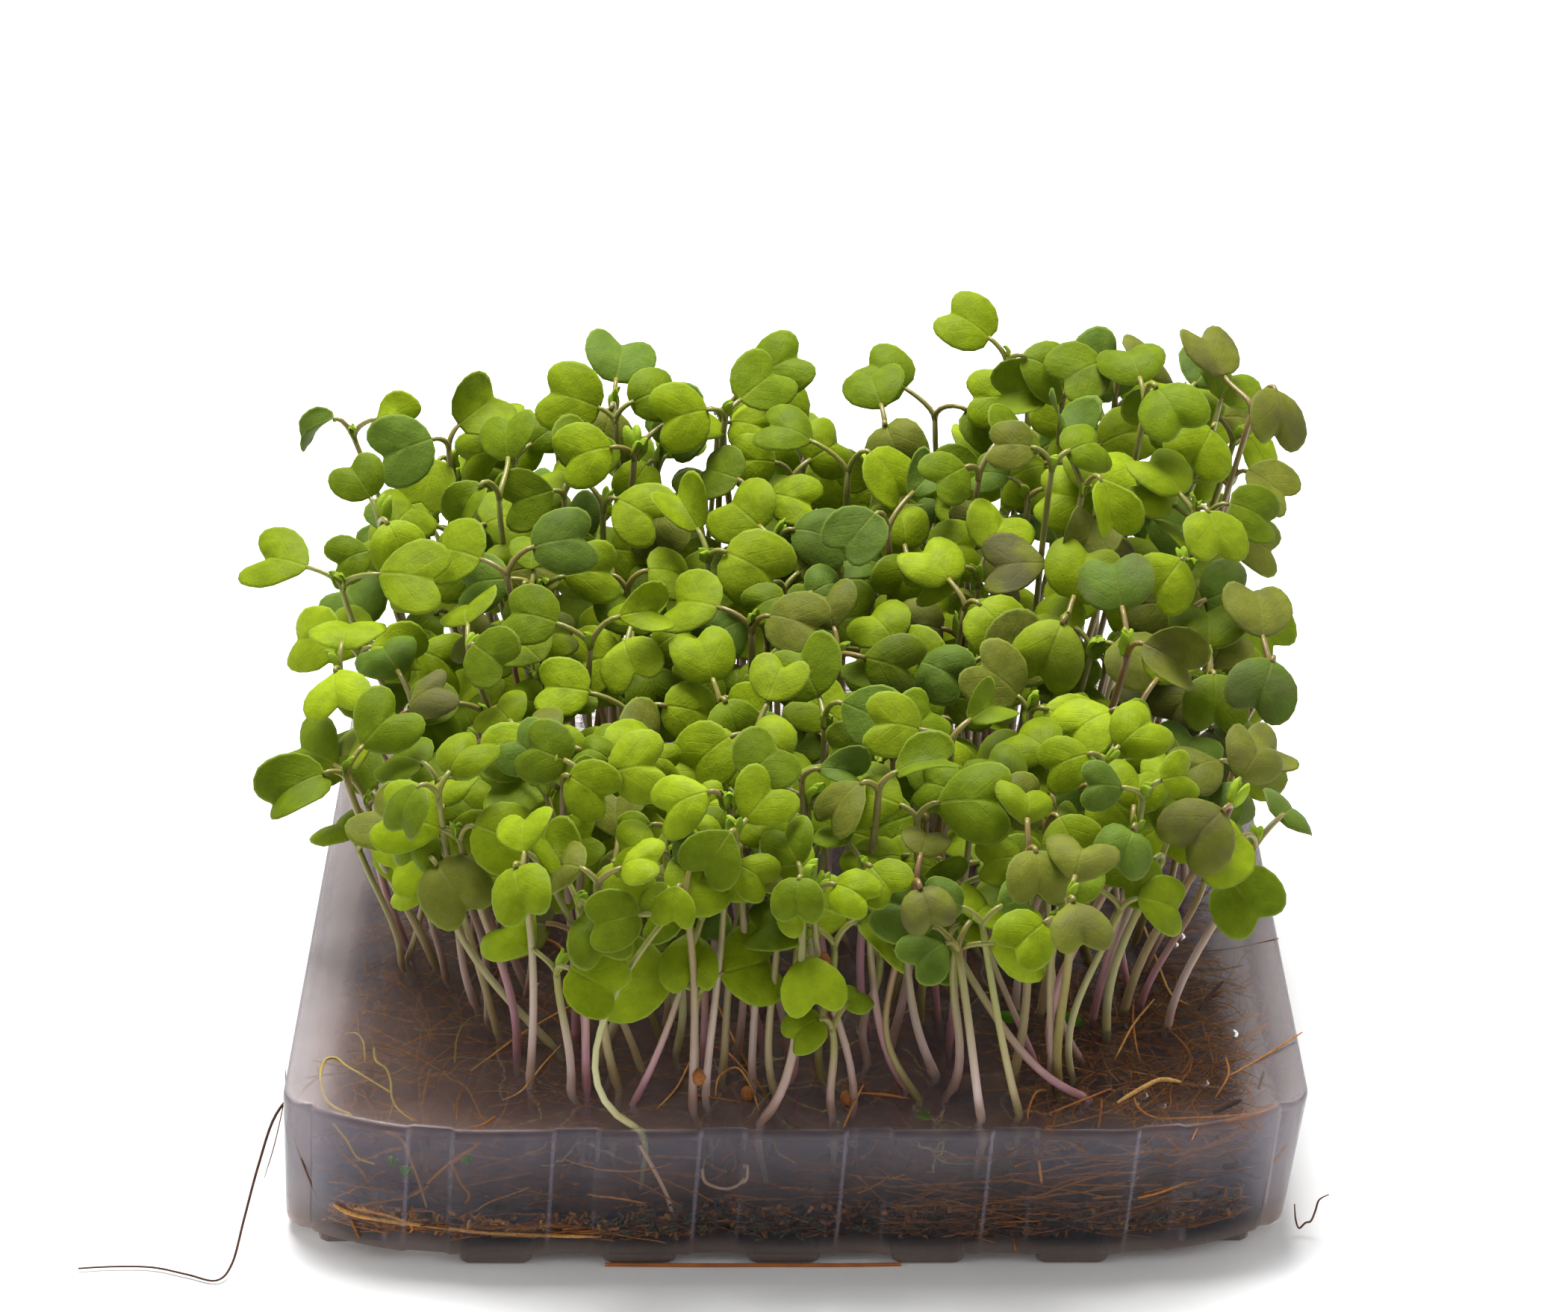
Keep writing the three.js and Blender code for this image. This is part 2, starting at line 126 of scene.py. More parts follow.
def set_stops(ramp, stops):
    while len(ramp.elements) > 1:
        ramp.elements.remove(ramp.elements[-1])
    for index, (place, colour) in enumerate(stops):
        stop = ramp.elements[0] if index == 0 else ramp.elements.new(place)
        stop.position = place
        stop.color = colour


def srgb(red, green, blue):
    """A linear colour from the 0 to 255 that a colour picker shows."""
    shares = [c / 255 for c in (red, green, blue)]
    return tuple(s / 12.92 if s <= 0.04045 else ((s + 0.055) / 1.055) ** 2.4 for s in shares) + (1,)


def new_material(name):
    """A material, its Principled node, and a Field from which its other nodes are made."""
    material = bpy.data.materials.new(name)
    material.use_nodes = True
    surface = material.node_tree.nodes["Principled BSDF"]
    place = material.node_tree.nodes.new("ShaderNodeTexCoord")
    return material, surface, Field(material.node_tree, place.outputs["Object"])


def feed(surface, **inputs):
    """Sets or links inputs of a shader node, whose names are given with _ for a space."""
    for name, value in inputs.items():
        socket = surface.inputs[name.replace("_", " ")]
        if isinstance(value, Field):
            value.tree.links.new(value.socket, socket)
        else:
            socket.default_value = value


def noise(place, scale, detail=2.0, rough=0.5):
    """Soft noise from 0 to 1, with so many blobs to a metre."""
    inputs = {"Vector": place, "Scale": scale, "Detail": detail, "Roughness": rough}
    return place.node("ShaderNodeTexNoise", {}, inputs)


def bump(height, depth):
    """The normal of a surface whose relief rises to depth, in metres, where height is 1."""
    return height.node("ShaderNodeBump", {}, {"Height": height, "Strength": 1.0, "Distance": depth})


def ring_surface(rings, closed_ends=False):
    """Vertices and faces of a skin over rings of the same number of points."""
    count = len(rings[0])
    vertices = [tuple(point) for ring in rings for point in ring]
    faces = []
    for level in range(len(rings) - 1):
        low = level * count
        for i in range(count):
            after = (i + 1) % count
            faces.append((low + i, low + after, low + count + after, low + count + i))
    if closed_ends:
        faces.append(tuple(reversed(range(count))))
        faces.append(tuple(range(len(vertices) - count, len(vertices))))
    return vertices, faces


def new_object(name, vertices, faces, material, smooth=True):
    """A mesh object from vertices in millimetres."""
    mesh = bpy.data.meshes.new(name)
    mesh.from_pydata(np.asarray(vertices) * MM, [], faces)
    mesh.materials.append(material)
    if smooth:
        mesh.shade_smooth()
    made = bpy.data.objects.new(name, mesh)
    bpy.context.scene.collection.objects.link(made)
    return made


camera = bpy.data.objects.new("camera", bpy.data.cameras.new("camera"))
camera.data.lens = CAMERA_LENS
camera.data.sensor_width = 36
camera.location = [c * MM for c in CAMERA_PLACE]
camera.rotation_euler = (math.radians(90 - CAMERA_PITCH), 0, -math.radians(CAMERA_YAW))
bpy.context.scene.collection.objects.link(camera)
bpy.context.scene.camera = camera
bpy.context.scene.view_settings.view_transform = "Standard"
bpy.context.scene.cycles.volume_bounces = 6  # so that the cloudy gel glows instead of going black

surround = bpy.data.worlds.new("surround")
surround.use_nodes = True
room = surround.node_tree.nodes.new("ShaderNodeTexCoord")
_, towards_back, _ = Field(surround.node_tree, room.outputs["Generated"]).split()
brightness = towards_back.step(-0.5, 0.5) * (SURROUND_BACK - SURROUND_FRONT) + SURROUND_FRONT
backdrop = surround.node_tree.nodes["Background"]
backdrop.inputs["Color"].default_value = (1, 1, 1, 1)
surround.node_tree.links.new(brightness.socket, backdrop.inputs["Strength"])
bpy.context.scene.world = surround


def area_light(name, place, turn, size, power):
    light = bpy.data.objects.new(name, bpy.data.lights.new(name, "AREA"))
    light.data.shape = "RECTANGLE"
    light.data.size, light.data.size_y = size
    light.data.energy = power
    light.location = place
    light.rotation_euler = turn
    bpy.context.scene.collection.objects.link(light)


area_light("key", KEY_PLACE, KEY_TURN, (KEY_SIZE, KEY_SIZE), KEY_POWER)
for side in (-1, 1):
    side_place = (side * SIDE_PLACE[0], SIDE_PLACE[1], SIDE_PLACE[2])
    side_turn = (math.radians(SIDE_TILT), 0, side * math.radians(SIDE_TURN))
    area_light("side", side_place, side_turn, SIDE_SIZE, SIDE_POWER)

table_material, table_surface, _ = new_material("white_table")
feed(table_surface, Base_Color=(0.9, 0.9, 0.9, 1), Roughness=0.6)
table_outline = [
    (TABLE_RADIUS / MM * math.cos(turn), TABLE_RADIUS / MM * math.sin(turn), 0)
    for turn in np.linspace(0, 2 * math.pi, 64, endpoint=False)
]
table = new_object("table", table_outline, [tuple(range(64))], table_material, smooth=False)


# ---------------------------------------------------------------------------------------------
# Gel slab. One block of set agar, clouded milky violet, cast in a fluted tray and turned out.
# Front and back walls keep the flutes, the underside the ribs, and the rim is only just eased.

SLAB_WIDTH = 131
SLAB_DEPTH = 130
SLAB_TOP = 20.5
STRAIGHT_HALF = 40  # the front and back walls are straight this far from the middle,
BOW_RADIUS = 42  # then bow away on this radius to the corners,
CORNER_RADIUS = 5  # which turn into the straight side walls on this one
SLAB_LEAN = 1.6  # how far the foot of the soft slab has slumped towards -X
RIB_HEIGHT = 1.2
RIB_WIDTH = 9.4
RIB_SPACING = 18.4
RIB_COUNT = 7  # each rib lies under one raised panel of the front wall
FLUTE_WIDTH = 12.8
FLUTE_SLOPE = 0.45
FLUTE_RECESS = 0.7
GEL_HAZE = 14.0  # how much of the light a metre of gel scatters
GEL_STAIN = 22.0  # and how much it takes away
GEL_MILK = srgb(204, 196, 236)  # the colour of what it scatters
GEL_TEA = srgb(150, 138, 150)  # and of what it lets through
CLOUD = {"margin": 0.35, "foot": 0.3, "front": 0.07, "top": 0.08, "side": -0.16, "all": 0.005}
CLOUD_MARGIN, CLOUD_FRONT = srgb(200, 190, 191), srgb(168, 162, 180)
CLOUD_TOP, CLOUD_FOOT = srgb(190, 152, 132), srgb(174, 154, 144)
FLUTE_GLINTS = ((1, 0.24), (-1, 0.08))  # side of a panel, and how strong the painted highlight along its edge is

RIB_OFFSETS = [(index - (RIB_COUNT - 1) / 2) * RIB_SPACING for index in range(RIB_COUNT)]


def fluted():
    """Distances along a wall, each with how far the wall is set back there, from 0 to 1."""
    points = []
    for middle in RIB_OFFSETS:
        slope = [(share * FLUTE_SLOPE, (1 + share) / 2) for share in (-1, -0.4, 0.4, 1)]
        edge = FLUTE_WIDTH / 2
        points += [(middle - edge - across, back) for across, back in reversed(slope)]
        points += [(middle + share * edge, 0) for share in (-0.5, 0, 0.5)]
        points += [(middle + edge + across, back) for across, back in slope]
    return [(distance, back * back * (3 - 2 * back)) for distance, back in points]


def front_wall(distance):
    """How far in front of the middle the slab's front wall stands, at a distance along it."""
    past = max(0, abs(distance) - STRAIGHT_HALF)
    return SLAB_DEPTH / 2 - BOW_RADIUS + math.sqrt(BOW_RADIUS**2 - past**2)


def slab_outline(corner_steps=8):
    """The upper face's outline: x, y, the outward direction, and how far it is set back."""
    corner_x = SLAB_WIDTH / 2 - CORNER_RADIUS
    bow_y = SLAB_DEPTH / 2 - BOW_RADIUS
    bow_turn = math.asin((corner_x - STRAIGHT_HALF) / (BOW_RADIUS - CORNER_RADIUS))
    corner_y = bow_y + (BOW_RADIUS - CORNER_RADIUS) * math.cos(bow_turn)
    half = []
    for distance, back in fluted():
        out_x = math.copysign(max(0, abs(distance) - STRAIGHT_HALF), distance) / BOW_RADIUS
        half.append((distance, -front_wall(distance), out_x, -math.sqrt(1 - out_x**2), back))
    corner = [
        (corner_x + CORNER_RADIUS * math.sin(turn), corner_y + CORNER_RADIUS * math.cos(turn),
         math.sin(turn), math.cos(turn), 0)
        for turn in np.linspace(bow_turn, math.pi / 2, corner_steps)
    ]
    half += [(x, -y, out_x, -out_y, back) for x, y, out_x, out_y, back in corner]
    half += [(SLAB_WIDTH / 2, corner_y * share, 1, 0, 0) for share in (-0.9, -0.5, 0, 0.5, 0.9)]
    half += reversed(corner)
    return np.array(half + [(-x, -y, -out_x, -out_y, back) for x, y, out_x, out_y, back in half])


def slab_ring(outline, z, inset, flute):
    back = inset + outline[:, 4] * FLUTE_RECESS * flute
    slump = SLAB_LEAN * (1 - z / SLAB_TOP)
    x = outline[:, 0] - outline[:, 2] * back - slump
    y = outline[:, 1] - outline[:, 3] * back
    return np.column_stack([x, y, np.full(len(x), z)])


gel_material, gel_surface, gel_place = new_material("growing_gel")
gel_x, gel_y, gel_z = gel_place.split()
crest = gel_z.step(0.0185, 0.0200) * (1 - gel_z.step(0.02044, 0.0205))
ripples = noise(gel_place, 160, 2) * 0.7 + noise(gel_place, 900, 1) * 0.3
feed(
    gel_surface,
    Base_Color=(1, 1, 1, 1),
    Roughness=0.15 + crest * 0.25,
    IOR=1.34,
    Transmission_Weight=1.0,
    Normal=bump(ripples, 0.00025),
)

# A thin milky cloud lies on the surface: on the margins, which hold no coir, and round the foot,
# faintly on the front wall's upper half and the left of the top. A line of the same milky surface
# down each flute's edge is a painted highlight, stronger on the right of each raised panel.
margin = gel_x.math("ABSOLUTE", gel_x).step(0.054, 0.066)
on_top = gel_z.step(0.0202, 0.0205)
upright_x = gel_x + (SLAB_LEAN * MM) - gel_z * (SLAB_LEAN / SLAB_TOP)
in_front = (0 - gel_y).step(0.056, 0.0635)
beside = upright_x.math("ABSOLUTE", upright_x).step(0.0638, 0.0645) * (1 - on_top)
cloud_and_glints = margin * CLOUD["margin"] + (1 - gel_z.step(0.0012, 0.0045)) * CLOUD["foot"]
cloud_and_glints = cloud_and_glints + in_front * gel_z.step(0.011, 0.019) * CLOUD["front"]
cloud_and_glints = cloud_and_glints + on_top * (1 - gel_x.step(-0.045, 0.03)) * CLOUD["top"] + beside * CLOUD["side"]
cloud_and_glints = (cloud_and_glints + CLOUD["all"]) * (noise(gel_place, 70, 2) * 0.8 + 0.6)
on_wall = gel_z.step(0.002, 0.004) * (1 - gel_z.step(0.0200, 0.0203))
# Painted highlight: a milky line down each edge of the raised panels, where the slopes catch light.
for side, strength in FLUTE_GLINTS:
    edge = upright_x - side * FLUTE_WIDTH / 2 * MM
    apart = edge.math("PINGPONG", edge, RIB_SPACING / 2 * MM)
    cloud_and_glints = cloud_and_glints + (1 - apart.step(0.00005, 0.0004)) * on_wall * strength
cloud_colour = in_front.mix(CLOUD_MARGIN, CLOUD_FRONT)
cloud_colour = (on_top * (1 - margin)).mix(cloud_colour, CLOUD_TOP)
cloud_colour = gel_z.step(0.003, 0.007).mix(CLOUD_FOOT, cloud_colour)
cloud = gel_place.node(
    "ShaderNodeBsdfPrincipled", {}, {"Base Color": cloud_colour, "Roughness": 0.4}
)
skin = cloud_and_glints.node("ShaderNodeMixShader", {}, {0: cloud_and_glints, 2: cloud})
haze = {"Color": GEL_MILK, "Density": GEL_HAZE, "Anisotropy": 0.2}
scatter = gel_place.node("ShaderNodeVolumeScatter", {}, haze)
stain = {"Color": GEL_TEA, "Density": GEL_STAIN}
inside = gel_place.node(
    "ShaderNodeAddShader",
    {},
    {0: scatter, 1: gel_place.node("ShaderNodeVolumeAbsorption", {}, stain)},
)
gel_tree = gel_material.node_tree
gel_output = gel_tree.nodes["Material Output"]
gel_tree.links.new(gel_surface.outputs[0], skin.socket.node.inputs[1])
gel_tree.links.new(skin.socket, gel_output.inputs["Surface"])
gel_tree.links.new(inside.socket, gel_output.inputs["Volume"])

outline = slab_outline()
levels = [(RIB_HEIGHT, 2.6, 0.4), (RIB_HEIGHT, 1.9, 0.4), (RIB_HEIGHT + 0.15, 1.45, 0.6)]
levels += [(RIB_HEIGHT + 0.5, 1.12, 0.9), (RIB_HEIGHT + 1.1, 0.98, 1), (RIB_HEIGHT + 4, 0.8, 1)]
levels += [(SLAB_TOP - 0.9, 0.04, 1), (SLAB_TOP - 0.4, 0.1, 1), (SLAB_TOP - 0.12, 0.34, 0.9)]
levels += [(SLAB_TOP, 0.8, 0.7), (SLAB_TOP, 1.5, 0.5)]
gel_vertices, gel_faces = ring_surface([slab_ring(outline, *level) for level in levels], True)
gel = new_object("gel", gel_vertices, gel_faces, gel_material)

for offset in RIB_OFFSETS:
    reach = front_wall(abs(offset) + RIB_WIDTH / 2) - 1.3
    profile = [(-RIB_WIDTH / 2, 2.0), (-RIB_WIDTH / 2 + 0.1, 0.8), (-RIB_WIDTH / 2 + 0.3, 0.3)]
    profile += [(-RIB_WIDTH / 2 + 0.9, 0.0)]
    profile += [(-x, z) for x, z in reversed(profile)]
    rings = [
        [(offset - SLAB_LEAN + x * squeeze, y, z + lift * (z < 1)) for x, z in profile]
        for y, squeeze, lift in (
            (reach, 0.93, 0.25),
            (reach - 0.5, 1, 0),
            (0.5 - reach, 1, 0),
            (-reach, 0.93, 0.25),
        )
    ]
    rib = new_object("rib", *ring_surface(rings, True), gel_material)
    union = gel.modifiers.new("rib", "BOOLEAN")
    union.operation = "UNION"
    union.solver = "EXACT"
    union.object = rib
    bpy.context.view_layer.objects.active = gel
    bpy.ops.object.modifier_apply(modifier=union.name)
    bpy.data.objects.remove(rib)
gel.data.set_sharp_from_angle(angle=math.radians(35))
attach(gel, "root")
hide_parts("gel_slab")


# ---------------------------------------------------------------------------------------------
# Coir. A mat of needled coconut fibre, laid in the tray before the gel was poured. Its body is
# dark and dense, its skin is a tangle, and single rust-brown fibres drift off it through the gel.

MAT_HALF = 57.5
MAT_BOTTOM = 3.8
MAT_TOP = 10.6


def stored(place, attribute, output=2):
    """An attribute of the mesh: output 0 is a colour, 1 a vector, 2 a number."""
    return place.node("ShaderNodeAttribute", {"attribute_name": attribute}, {}, output)


coir_material, coir_surface, coir_place = new_material("coir_fibre")
coir_stops = [
    (0.0, srgb(56, 30, 16)),
    (0.35, srgb(142, 84, 36)),
    (0.75, srgb(196, 126, 54)),
    (1.0, srgb(226, 176, 98)),
]
coir_shade = stored(coir_place, "shade")
coir_colour = coir_shade.node("ShaderNodeValToRGB", {"stops": coir_stops}, {"Fac": coir_shade})
coir_grain = noise(coir_place, 2500, 2)
feed(
    coir_surface,
    Base_Color=coir_grain.step(0.2, 0.8).mix(coir_colour, coir_colour.tinted((0.55, 0.5, 0.5, 1))),
    Roughness=0.85,
    Normal=bump(coir_grain, 0.00008),
)

mat_material, mat_surface, mat_place = new_material("coir_body")
mat_clumps = noise(mat_place, 220, 4, 0.65)
mat_grain = mat_place.node("ShaderNodeMapping", {}, {"Vector": mat_place, "Scale": (1, 5, 9)})
mat_strands = noise(mat_grain, 500, 3)
mat_tone = (mat_clumps * 0.6 + mat_strands * 0.4).step(0.3, 0.7)
algae = noise(mat_place, 45, 2).step(0.55, 0.75)
feed(
    mat_surface,
    Base_Color=(algae * 0.35).mix(
        mat_tone.mix(srgb(34, 22, 16), srgb(122, 74, 40)), srgb(84, 78, 34)
    ),
    Roughness=0.9,
    Normal=bump(mat_strands, 0.0006),
)


def mat_ring(z, inset, wobble, count=176):
    """One ring of the mat: a square with round, ragged corners."""
    ring = []
    for turn in np.linspace(0, 2 * math.pi, count, endpoint=False):
        cosine, sine = math.cos(turn), math.sin(turn)
        reach = MAT_HALF / (abs(cosine) ** 7 + abs(sine) ** 7) ** (1 / 7)
        ragged = 0.8 * math.sin(12 * turn + wobble) + 0.6 * math.sin(31 * turn + 3 * wobble)
        radius = reach - 1 + ragged - inset
        ring.append((radius * cosine, radius * sine, z + 0.25 * math.sin(23 * turn + wobble)))
    return ring


mat_rings = [mat_ring(MAT_BOTTOM, 40, 0), mat_ring(MAT_BOTTOM, 18, 0.2), mat_ring(MAT_BOTTOM, 3, 0.4)]
mat_rings += [mat_ring(MAT_BOTTOM + 1.4, 0.3, 0.6), mat_ring(MAT_TOP - 1.6, 0.2, 1.1)]
mat_rings += [mat_ring(MAT_TOP - 0.3, 1.8, 1.5), mat_ring(MAT_TOP + 0.2, 12, 2.2)]
mat_rings += [mat_ring(MAT_TOP, 26, 2.9), mat_ring(MAT_TOP + 0.3, 42, 3.3)]
mat = new_object("coir_mat_body", *ring_surface(mat_rings, True), mat_material)
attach(mat, "root")
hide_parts("coir_mat")


def fibre_tree(name, material):
    """Geometry Nodes that scatter wavy fibres through a box.

    Each is a straight line, turned and stretched at random, that a noise then bends."""
    group = bpy.data.node_groups.new(name, "GeometryNodeTree")
    defaults = {"Count": 100, "Lowest": (-0.05, -0.05, 0), "Highest": (0.05, 0.05, 0.01)}
    defaults |= {"Shortest": 0.01, "Longest": 0.02, "Radius": 0.00015, "Tilt": 0.3}
    defaults |= {"Fan": math.pi, "Wave": 0.004, "Darkest": 0.0, "Lightest": 1.0, "Seed": 1}
    kinds = {int: "NodeSocketInt", float: "NodeSocketFloat", tuple: "NodeSocketVector"}
    for input_name, value in defaults.items():
        entry = group.interface.new_socket(
            name=input_name, in_out="INPUT", socket_type=kinds[type(value)]
        )
        entry.default_value = value
    group.interface.new_socket(name="Geometry", in_out="OUTPUT", socket_type="NodeSocketGeometry")
    nodes, links = group.nodes, group.links
    given = nodes.new("NodeGroupInput").outputs

    def node(kind, inputs, output=0, **settings):
        """One output of a new node, whose settings are set before its inputs."""
        made = nodes.new(kind)
        for key_name, value in settings.items():
            setattr(made, key_name, value)
        for key_name, value in inputs.items():
            if isinstance(value, bpy.types.NodeSocket):
                links.new(value, made.inputs[key_name])
            else:
                made.inputs[key_name].default_value = value
        return made.outputs[output]

    def sums(operation, *values):
        return node("ShaderNodeMath", dict(enumerate(values)), operation=operation)

    def vectors(operation, *values):
        return node("ShaderNodeVectorMath", dict(enumerate(values)), operation=operation)

    def draw(low, high, salt, place=False):
        """A number drawn for each fibre between low and high, or a place between two places."""
        seed = sums("ADD", given["Seed"], node("FunctionNodeInputInt", {}, integer=salt))
        kind, first, output = ("FLOAT_VECTOR", 0, 0) if place else ("FLOAT", 2, 1)
        limits = {first: low, first + 1: high, "Seed": seed}
        return node("FunctionNodeRandomValue", limits, output, data_type=kind)

    spots = draw(given["Lowest"], given["Highest"], 11, place=True)
    points = node("GeometryNodePoints", {"Count": given["Count"], "Position": spots})
    line = node("GeometryNodeCurvePrimitiveLine", {"Start": (-0.5, 0, 0), "End": (0.5, 0, 0)})
    line = node("GeometryNodeResampleCurve", {"Curve": line, "Count": 9})
    tilt = sums("MULTIPLY", draw(-1.0, 1.0, 23), given["Tilt"])
    turn = sums("MULTIPLY", draw(-1.0, 1.0, 37), given["Fan"])
    turned = node("ShaderNodeCombineXYZ", {"Y": tilt, "Z": turn})
    length = draw(given["Shortest"], given["Longest"], 41)
    stretch = node("ShaderNodeCombineXYZ", {"X": length, "Y": length, "Z": length})
    placing = {"Points": points, "Instance": line, "Rotation": turned, "Scale": stretch}
    placed = node("GeometryNodeInstanceOnPoints", placing)
    shade = draw(given["Darkest"], given["Lightest"], 53)
    shading = {"Geometry": placed, "Name": "shade", "Value": shade}
    shaded = node("GeometryNodeStoreNamedAttribute", shading, data_type="FLOAT", domain="INSTANCE")
    real = node("GeometryNodeRealizeInstances", {"Geometry": shaded})

    own = node("GeometryNodeInputNamedAttribute", {"Name": "shade"}, data_type="FLOAT")
    ripple = {"Scale": 110.0, "Detail": 1.0, "W": sums("MULTIPLY", own, 40.0)}
    wave = node("ShaderNodeTexNoise", ripple, "Color", noise_dimensions="4D")
    centred = vectors("SUBTRACT", wave, (0.5, 0.5, 0.5))
    flatter = vectors("MULTIPLY", centred, (1, 1, 0.4))
    sway = node("ShaderNodeVectorMath", {0: flatter, "Scale": given["Wave"]}, operation="SCALE")
    bent = node("GeometryNodeSetPosition", {"Geometry": real, "Offset": sway})
    section = node("GeometryNodeCurvePrimitiveCircle", {"Resolution": 3, "Radius": given["Radius"]})
    sweep = {"Curve": bent, "Profile Curve": section, "Fill Caps": True}
    swept = node("GeometryNodeCurveToMesh", sweep)
    painted = node("GeometryNodeSetMaterial", {"Geometry": swept, "Material": material})
    smoothed = node("GeometryNodeSetShadeSmooth", {"Geometry": painted})
    links.new(smoothed, nodes.new("NodeGroupOutput").inputs[0])
    return group


MARGIN_START = 57.5
MARGIN_SQUEEZE = 0.6


def bowed(points):
    """Points in millimetres, drawn in to follow the slab's bowed walls and its slump.

    What would come out through a side wall is squeezed into the margin behind that wall."""
    points = np.asarray(points, float).copy()
    beyond = np.maximum(np.abs(points[:, 0]) - MARGIN_START, 0)
    points[:, 0] -= np.sign(points[:, 0]) * beyond * MARGIN_SQUEEZE
    walls = np.array([front_wall(min(abs(x), SLAB_WIDTH / 2)) for x in points[:, 0]])
    points[:, 1] *= walls / (SLAB_DEPTH / 2)
    points[:, 0] -= SLAB_LEAN * (1 - points[:, 2] / SLAB_TOP)
    return points


def grown(name, group, **inputs):
    """The mesh that a Geometry Nodes tree makes with these inputs, as a plain object."""
    seedbed = bpy.data.objects.new(name + "_bed", bpy.data.meshes.new(name + "_bed"))
    bpy.context.scene.collection.objects.link(seedbed)
    modifier = seedbed.modifiers.new("grow", "NODES")
    modifier.node_group = group
    for item in group.interface.items_tree:
        if item.in_out == "INPUT" and item.name in inputs:
            modifier[item.identifier] = inputs[item.name]
    result = bpy.data.meshes.new_from_object(
        seedbed.evaluated_get(bpy.context.evaluated_depsgraph_get())
    )
    bpy.data.objects.remove(seedbed)
    places = np.empty(len(result.vertices) * 3, np.float32)
    result.vertices.foreach_get("co", places)
    places = bowed(places.reshape(-1, 3) / MM) * MM
    result.vertices.foreach_set("co", places.astype(np.float32).ravel())
    result.update()
    result.name = name
    made = bpy.data.objects.new(name, result)
    bpy.context.scene.collection.objects.link(made)
    return made


coir_tree = fibre_tree("coir_fibres", coir_material)
# name, count, lowest and highest corner, shortest, longest, radius, tilt, fan, wave, shades: in
# millimetres, the tilt from level and the turn from the wall in radians, and the shades 0 to 1
FIBRE_BEDS = [
    ("coir_skin", 1300, (-54, -55, 4), (54, 55, 11.5), 8, 22, 0.15, 0.22, 3.2, 7, (0, 0.7)),
    ("coir_fringe_left", 60, (-56, -56, 4.5), (-53, 58, 12), 4, 10, 0.13, 0.7, 3.2, 6, (0.2, 1)),
    ("coir_fringe_right", 230, (50, -58, 11), (58.5, 26, 19.7), 3, 8, 0.13, 0.15, 0.5, 2, (0.1, 0.8)),
    ("coir_fringe_back", 120, (-56, 55, 5), (56, 61, 12), 4, 13, 0.13, 0.5, 3.2, 6, (0, 1)),
    ("coir_sill_left", 110, (-57, -63.2, 4.1), (-14, -61, 5.3), 3, 11, 0.16, 0.25, 0.3, 2.5, (0.3, 0.8)),
    ("coir_sill_mid", 100, (-20, -63, 4), (30, -60.5, 6.2), 3, 9, 0.14, 0.3, 0.5, 3, (0, 0.45)),
    ("coir_sill_right", 110, (16, -63, 4.2), (59, -60.5, 8), 3, 12, 0.14, 0.3, 0.3, 3, (0, 0.65)),
    ("coir_crumbs_left", 380, (-58, -63.3, 4), (-10, -60, 6.4), 0.4, 1.4, 0.26, 1.5, 3.2, 0, (0.2, 0.9)),
    ("coir_crumbs", 620, (-20, -63.2, 3.9), (58, -59, 8), 0.4, 1.3, 0.3, 1.5, 3.2, 0, (0, 0.6)),
    ("coir_front", 90, (-56, -61.5, 5), (57, -57, 11), 4, 13, 0.12, 0.4, 0.7, 5, (0, 0.8)),
    ("coir_streaks", 40, (16, -63, 7), (56, -60, 16), 5, 15, 0.14, 0.2, 0.2, 3, (0.1, 0.7)),
    ("coir_drift", 260, (-54, -55, 12), (52, 54, 18), 7, 20, 0.12, 0.25, 3.2, 9, (0, 0.8)),
    ("coir_cloud_left", 330, (-60, -59, 12), (-26, 34, 19.6), 4, 16, 0.11, 0.16, 3.2, 7, (0.2, 0.8)),
    ("coir_cloud_right", 420, (30, -60, 14), (61, -22, 19.9), 5, 18, 0.12, 0.14, 3.2, 6, (0.15, 0.85)),
]
for bed, (name, count, low, high, short, long, radius, tilt, fan, wave, shades) in enumerate(FIBRE_BEDS):
    fibres = grown(
        name,
        coir_tree,
        Count=count,
        Lowest=[c * MM for c in low],
        Highest=[c * MM for c in high],
        Shortest=short * MM,
        Longest=long * MM,
        Radius=radius * MM,
        Tilt=tilt,
        Fan=fan,
        Wave=wave * MM,
        Darkest=shades[0],
        Lightest=shades[1],
        Seed=101 + bed,
    )
    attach(fibres, "root")


# ---------------------------------------------------------------------------------------------
# Seedlings. Brassica plants sown close together, each a soft stem that roots on the mat and
# carries two stalked, notched seed leaves, often with a first true leaf just showing.
# The rule that places them is the solids' own; more plants then fill the gaps between those.

SEED = 4711
ROOT_LEVEL = 12.4
ROOT_SPREAD = 1.2
SOWN_HALF_X = 45
SOWN_FRONT, SOWN_BACK = -51, 49
SOWN_ROWS = SOWN_COLUMNS = 7
LEAF_CLEARANCE = 2.4
ATTEMPTS = 400
FILLER_COUNT = 330
FILLER_CLEARANCE = 1.1
FILLER_ATTEMPTS = 50
SHORT_STALK = 0.6  # leaf stalks of the plants that aren't solids, as a share of the solids'
CANOPY_LOW, CANOPY_HIGH = (-67.5, -90, 0), (70, 90, 83)
MASK = 0xFFFFFFFF


def seeded_random(seed):
    """A function that gives the same run of numbers from 0 to 1 for the same seed."""
    state = seed & MASK

    def draw():
        nonlocal state
        state = (state + 0x6D2B79F5) & MASK
        mixed = ((state ^ (state >> 15)) * (state | 1)) & MASK
        mixed ^= (mixed + (mixed ^ (mixed >> 7)) * (mixed | 61)) & MASK
        return ((mixed ^ (mixed >> 14)) & MASK) / 4294967296

    return draw


def unit(vector):
    return vector / math.sqrt(vector @ vector)


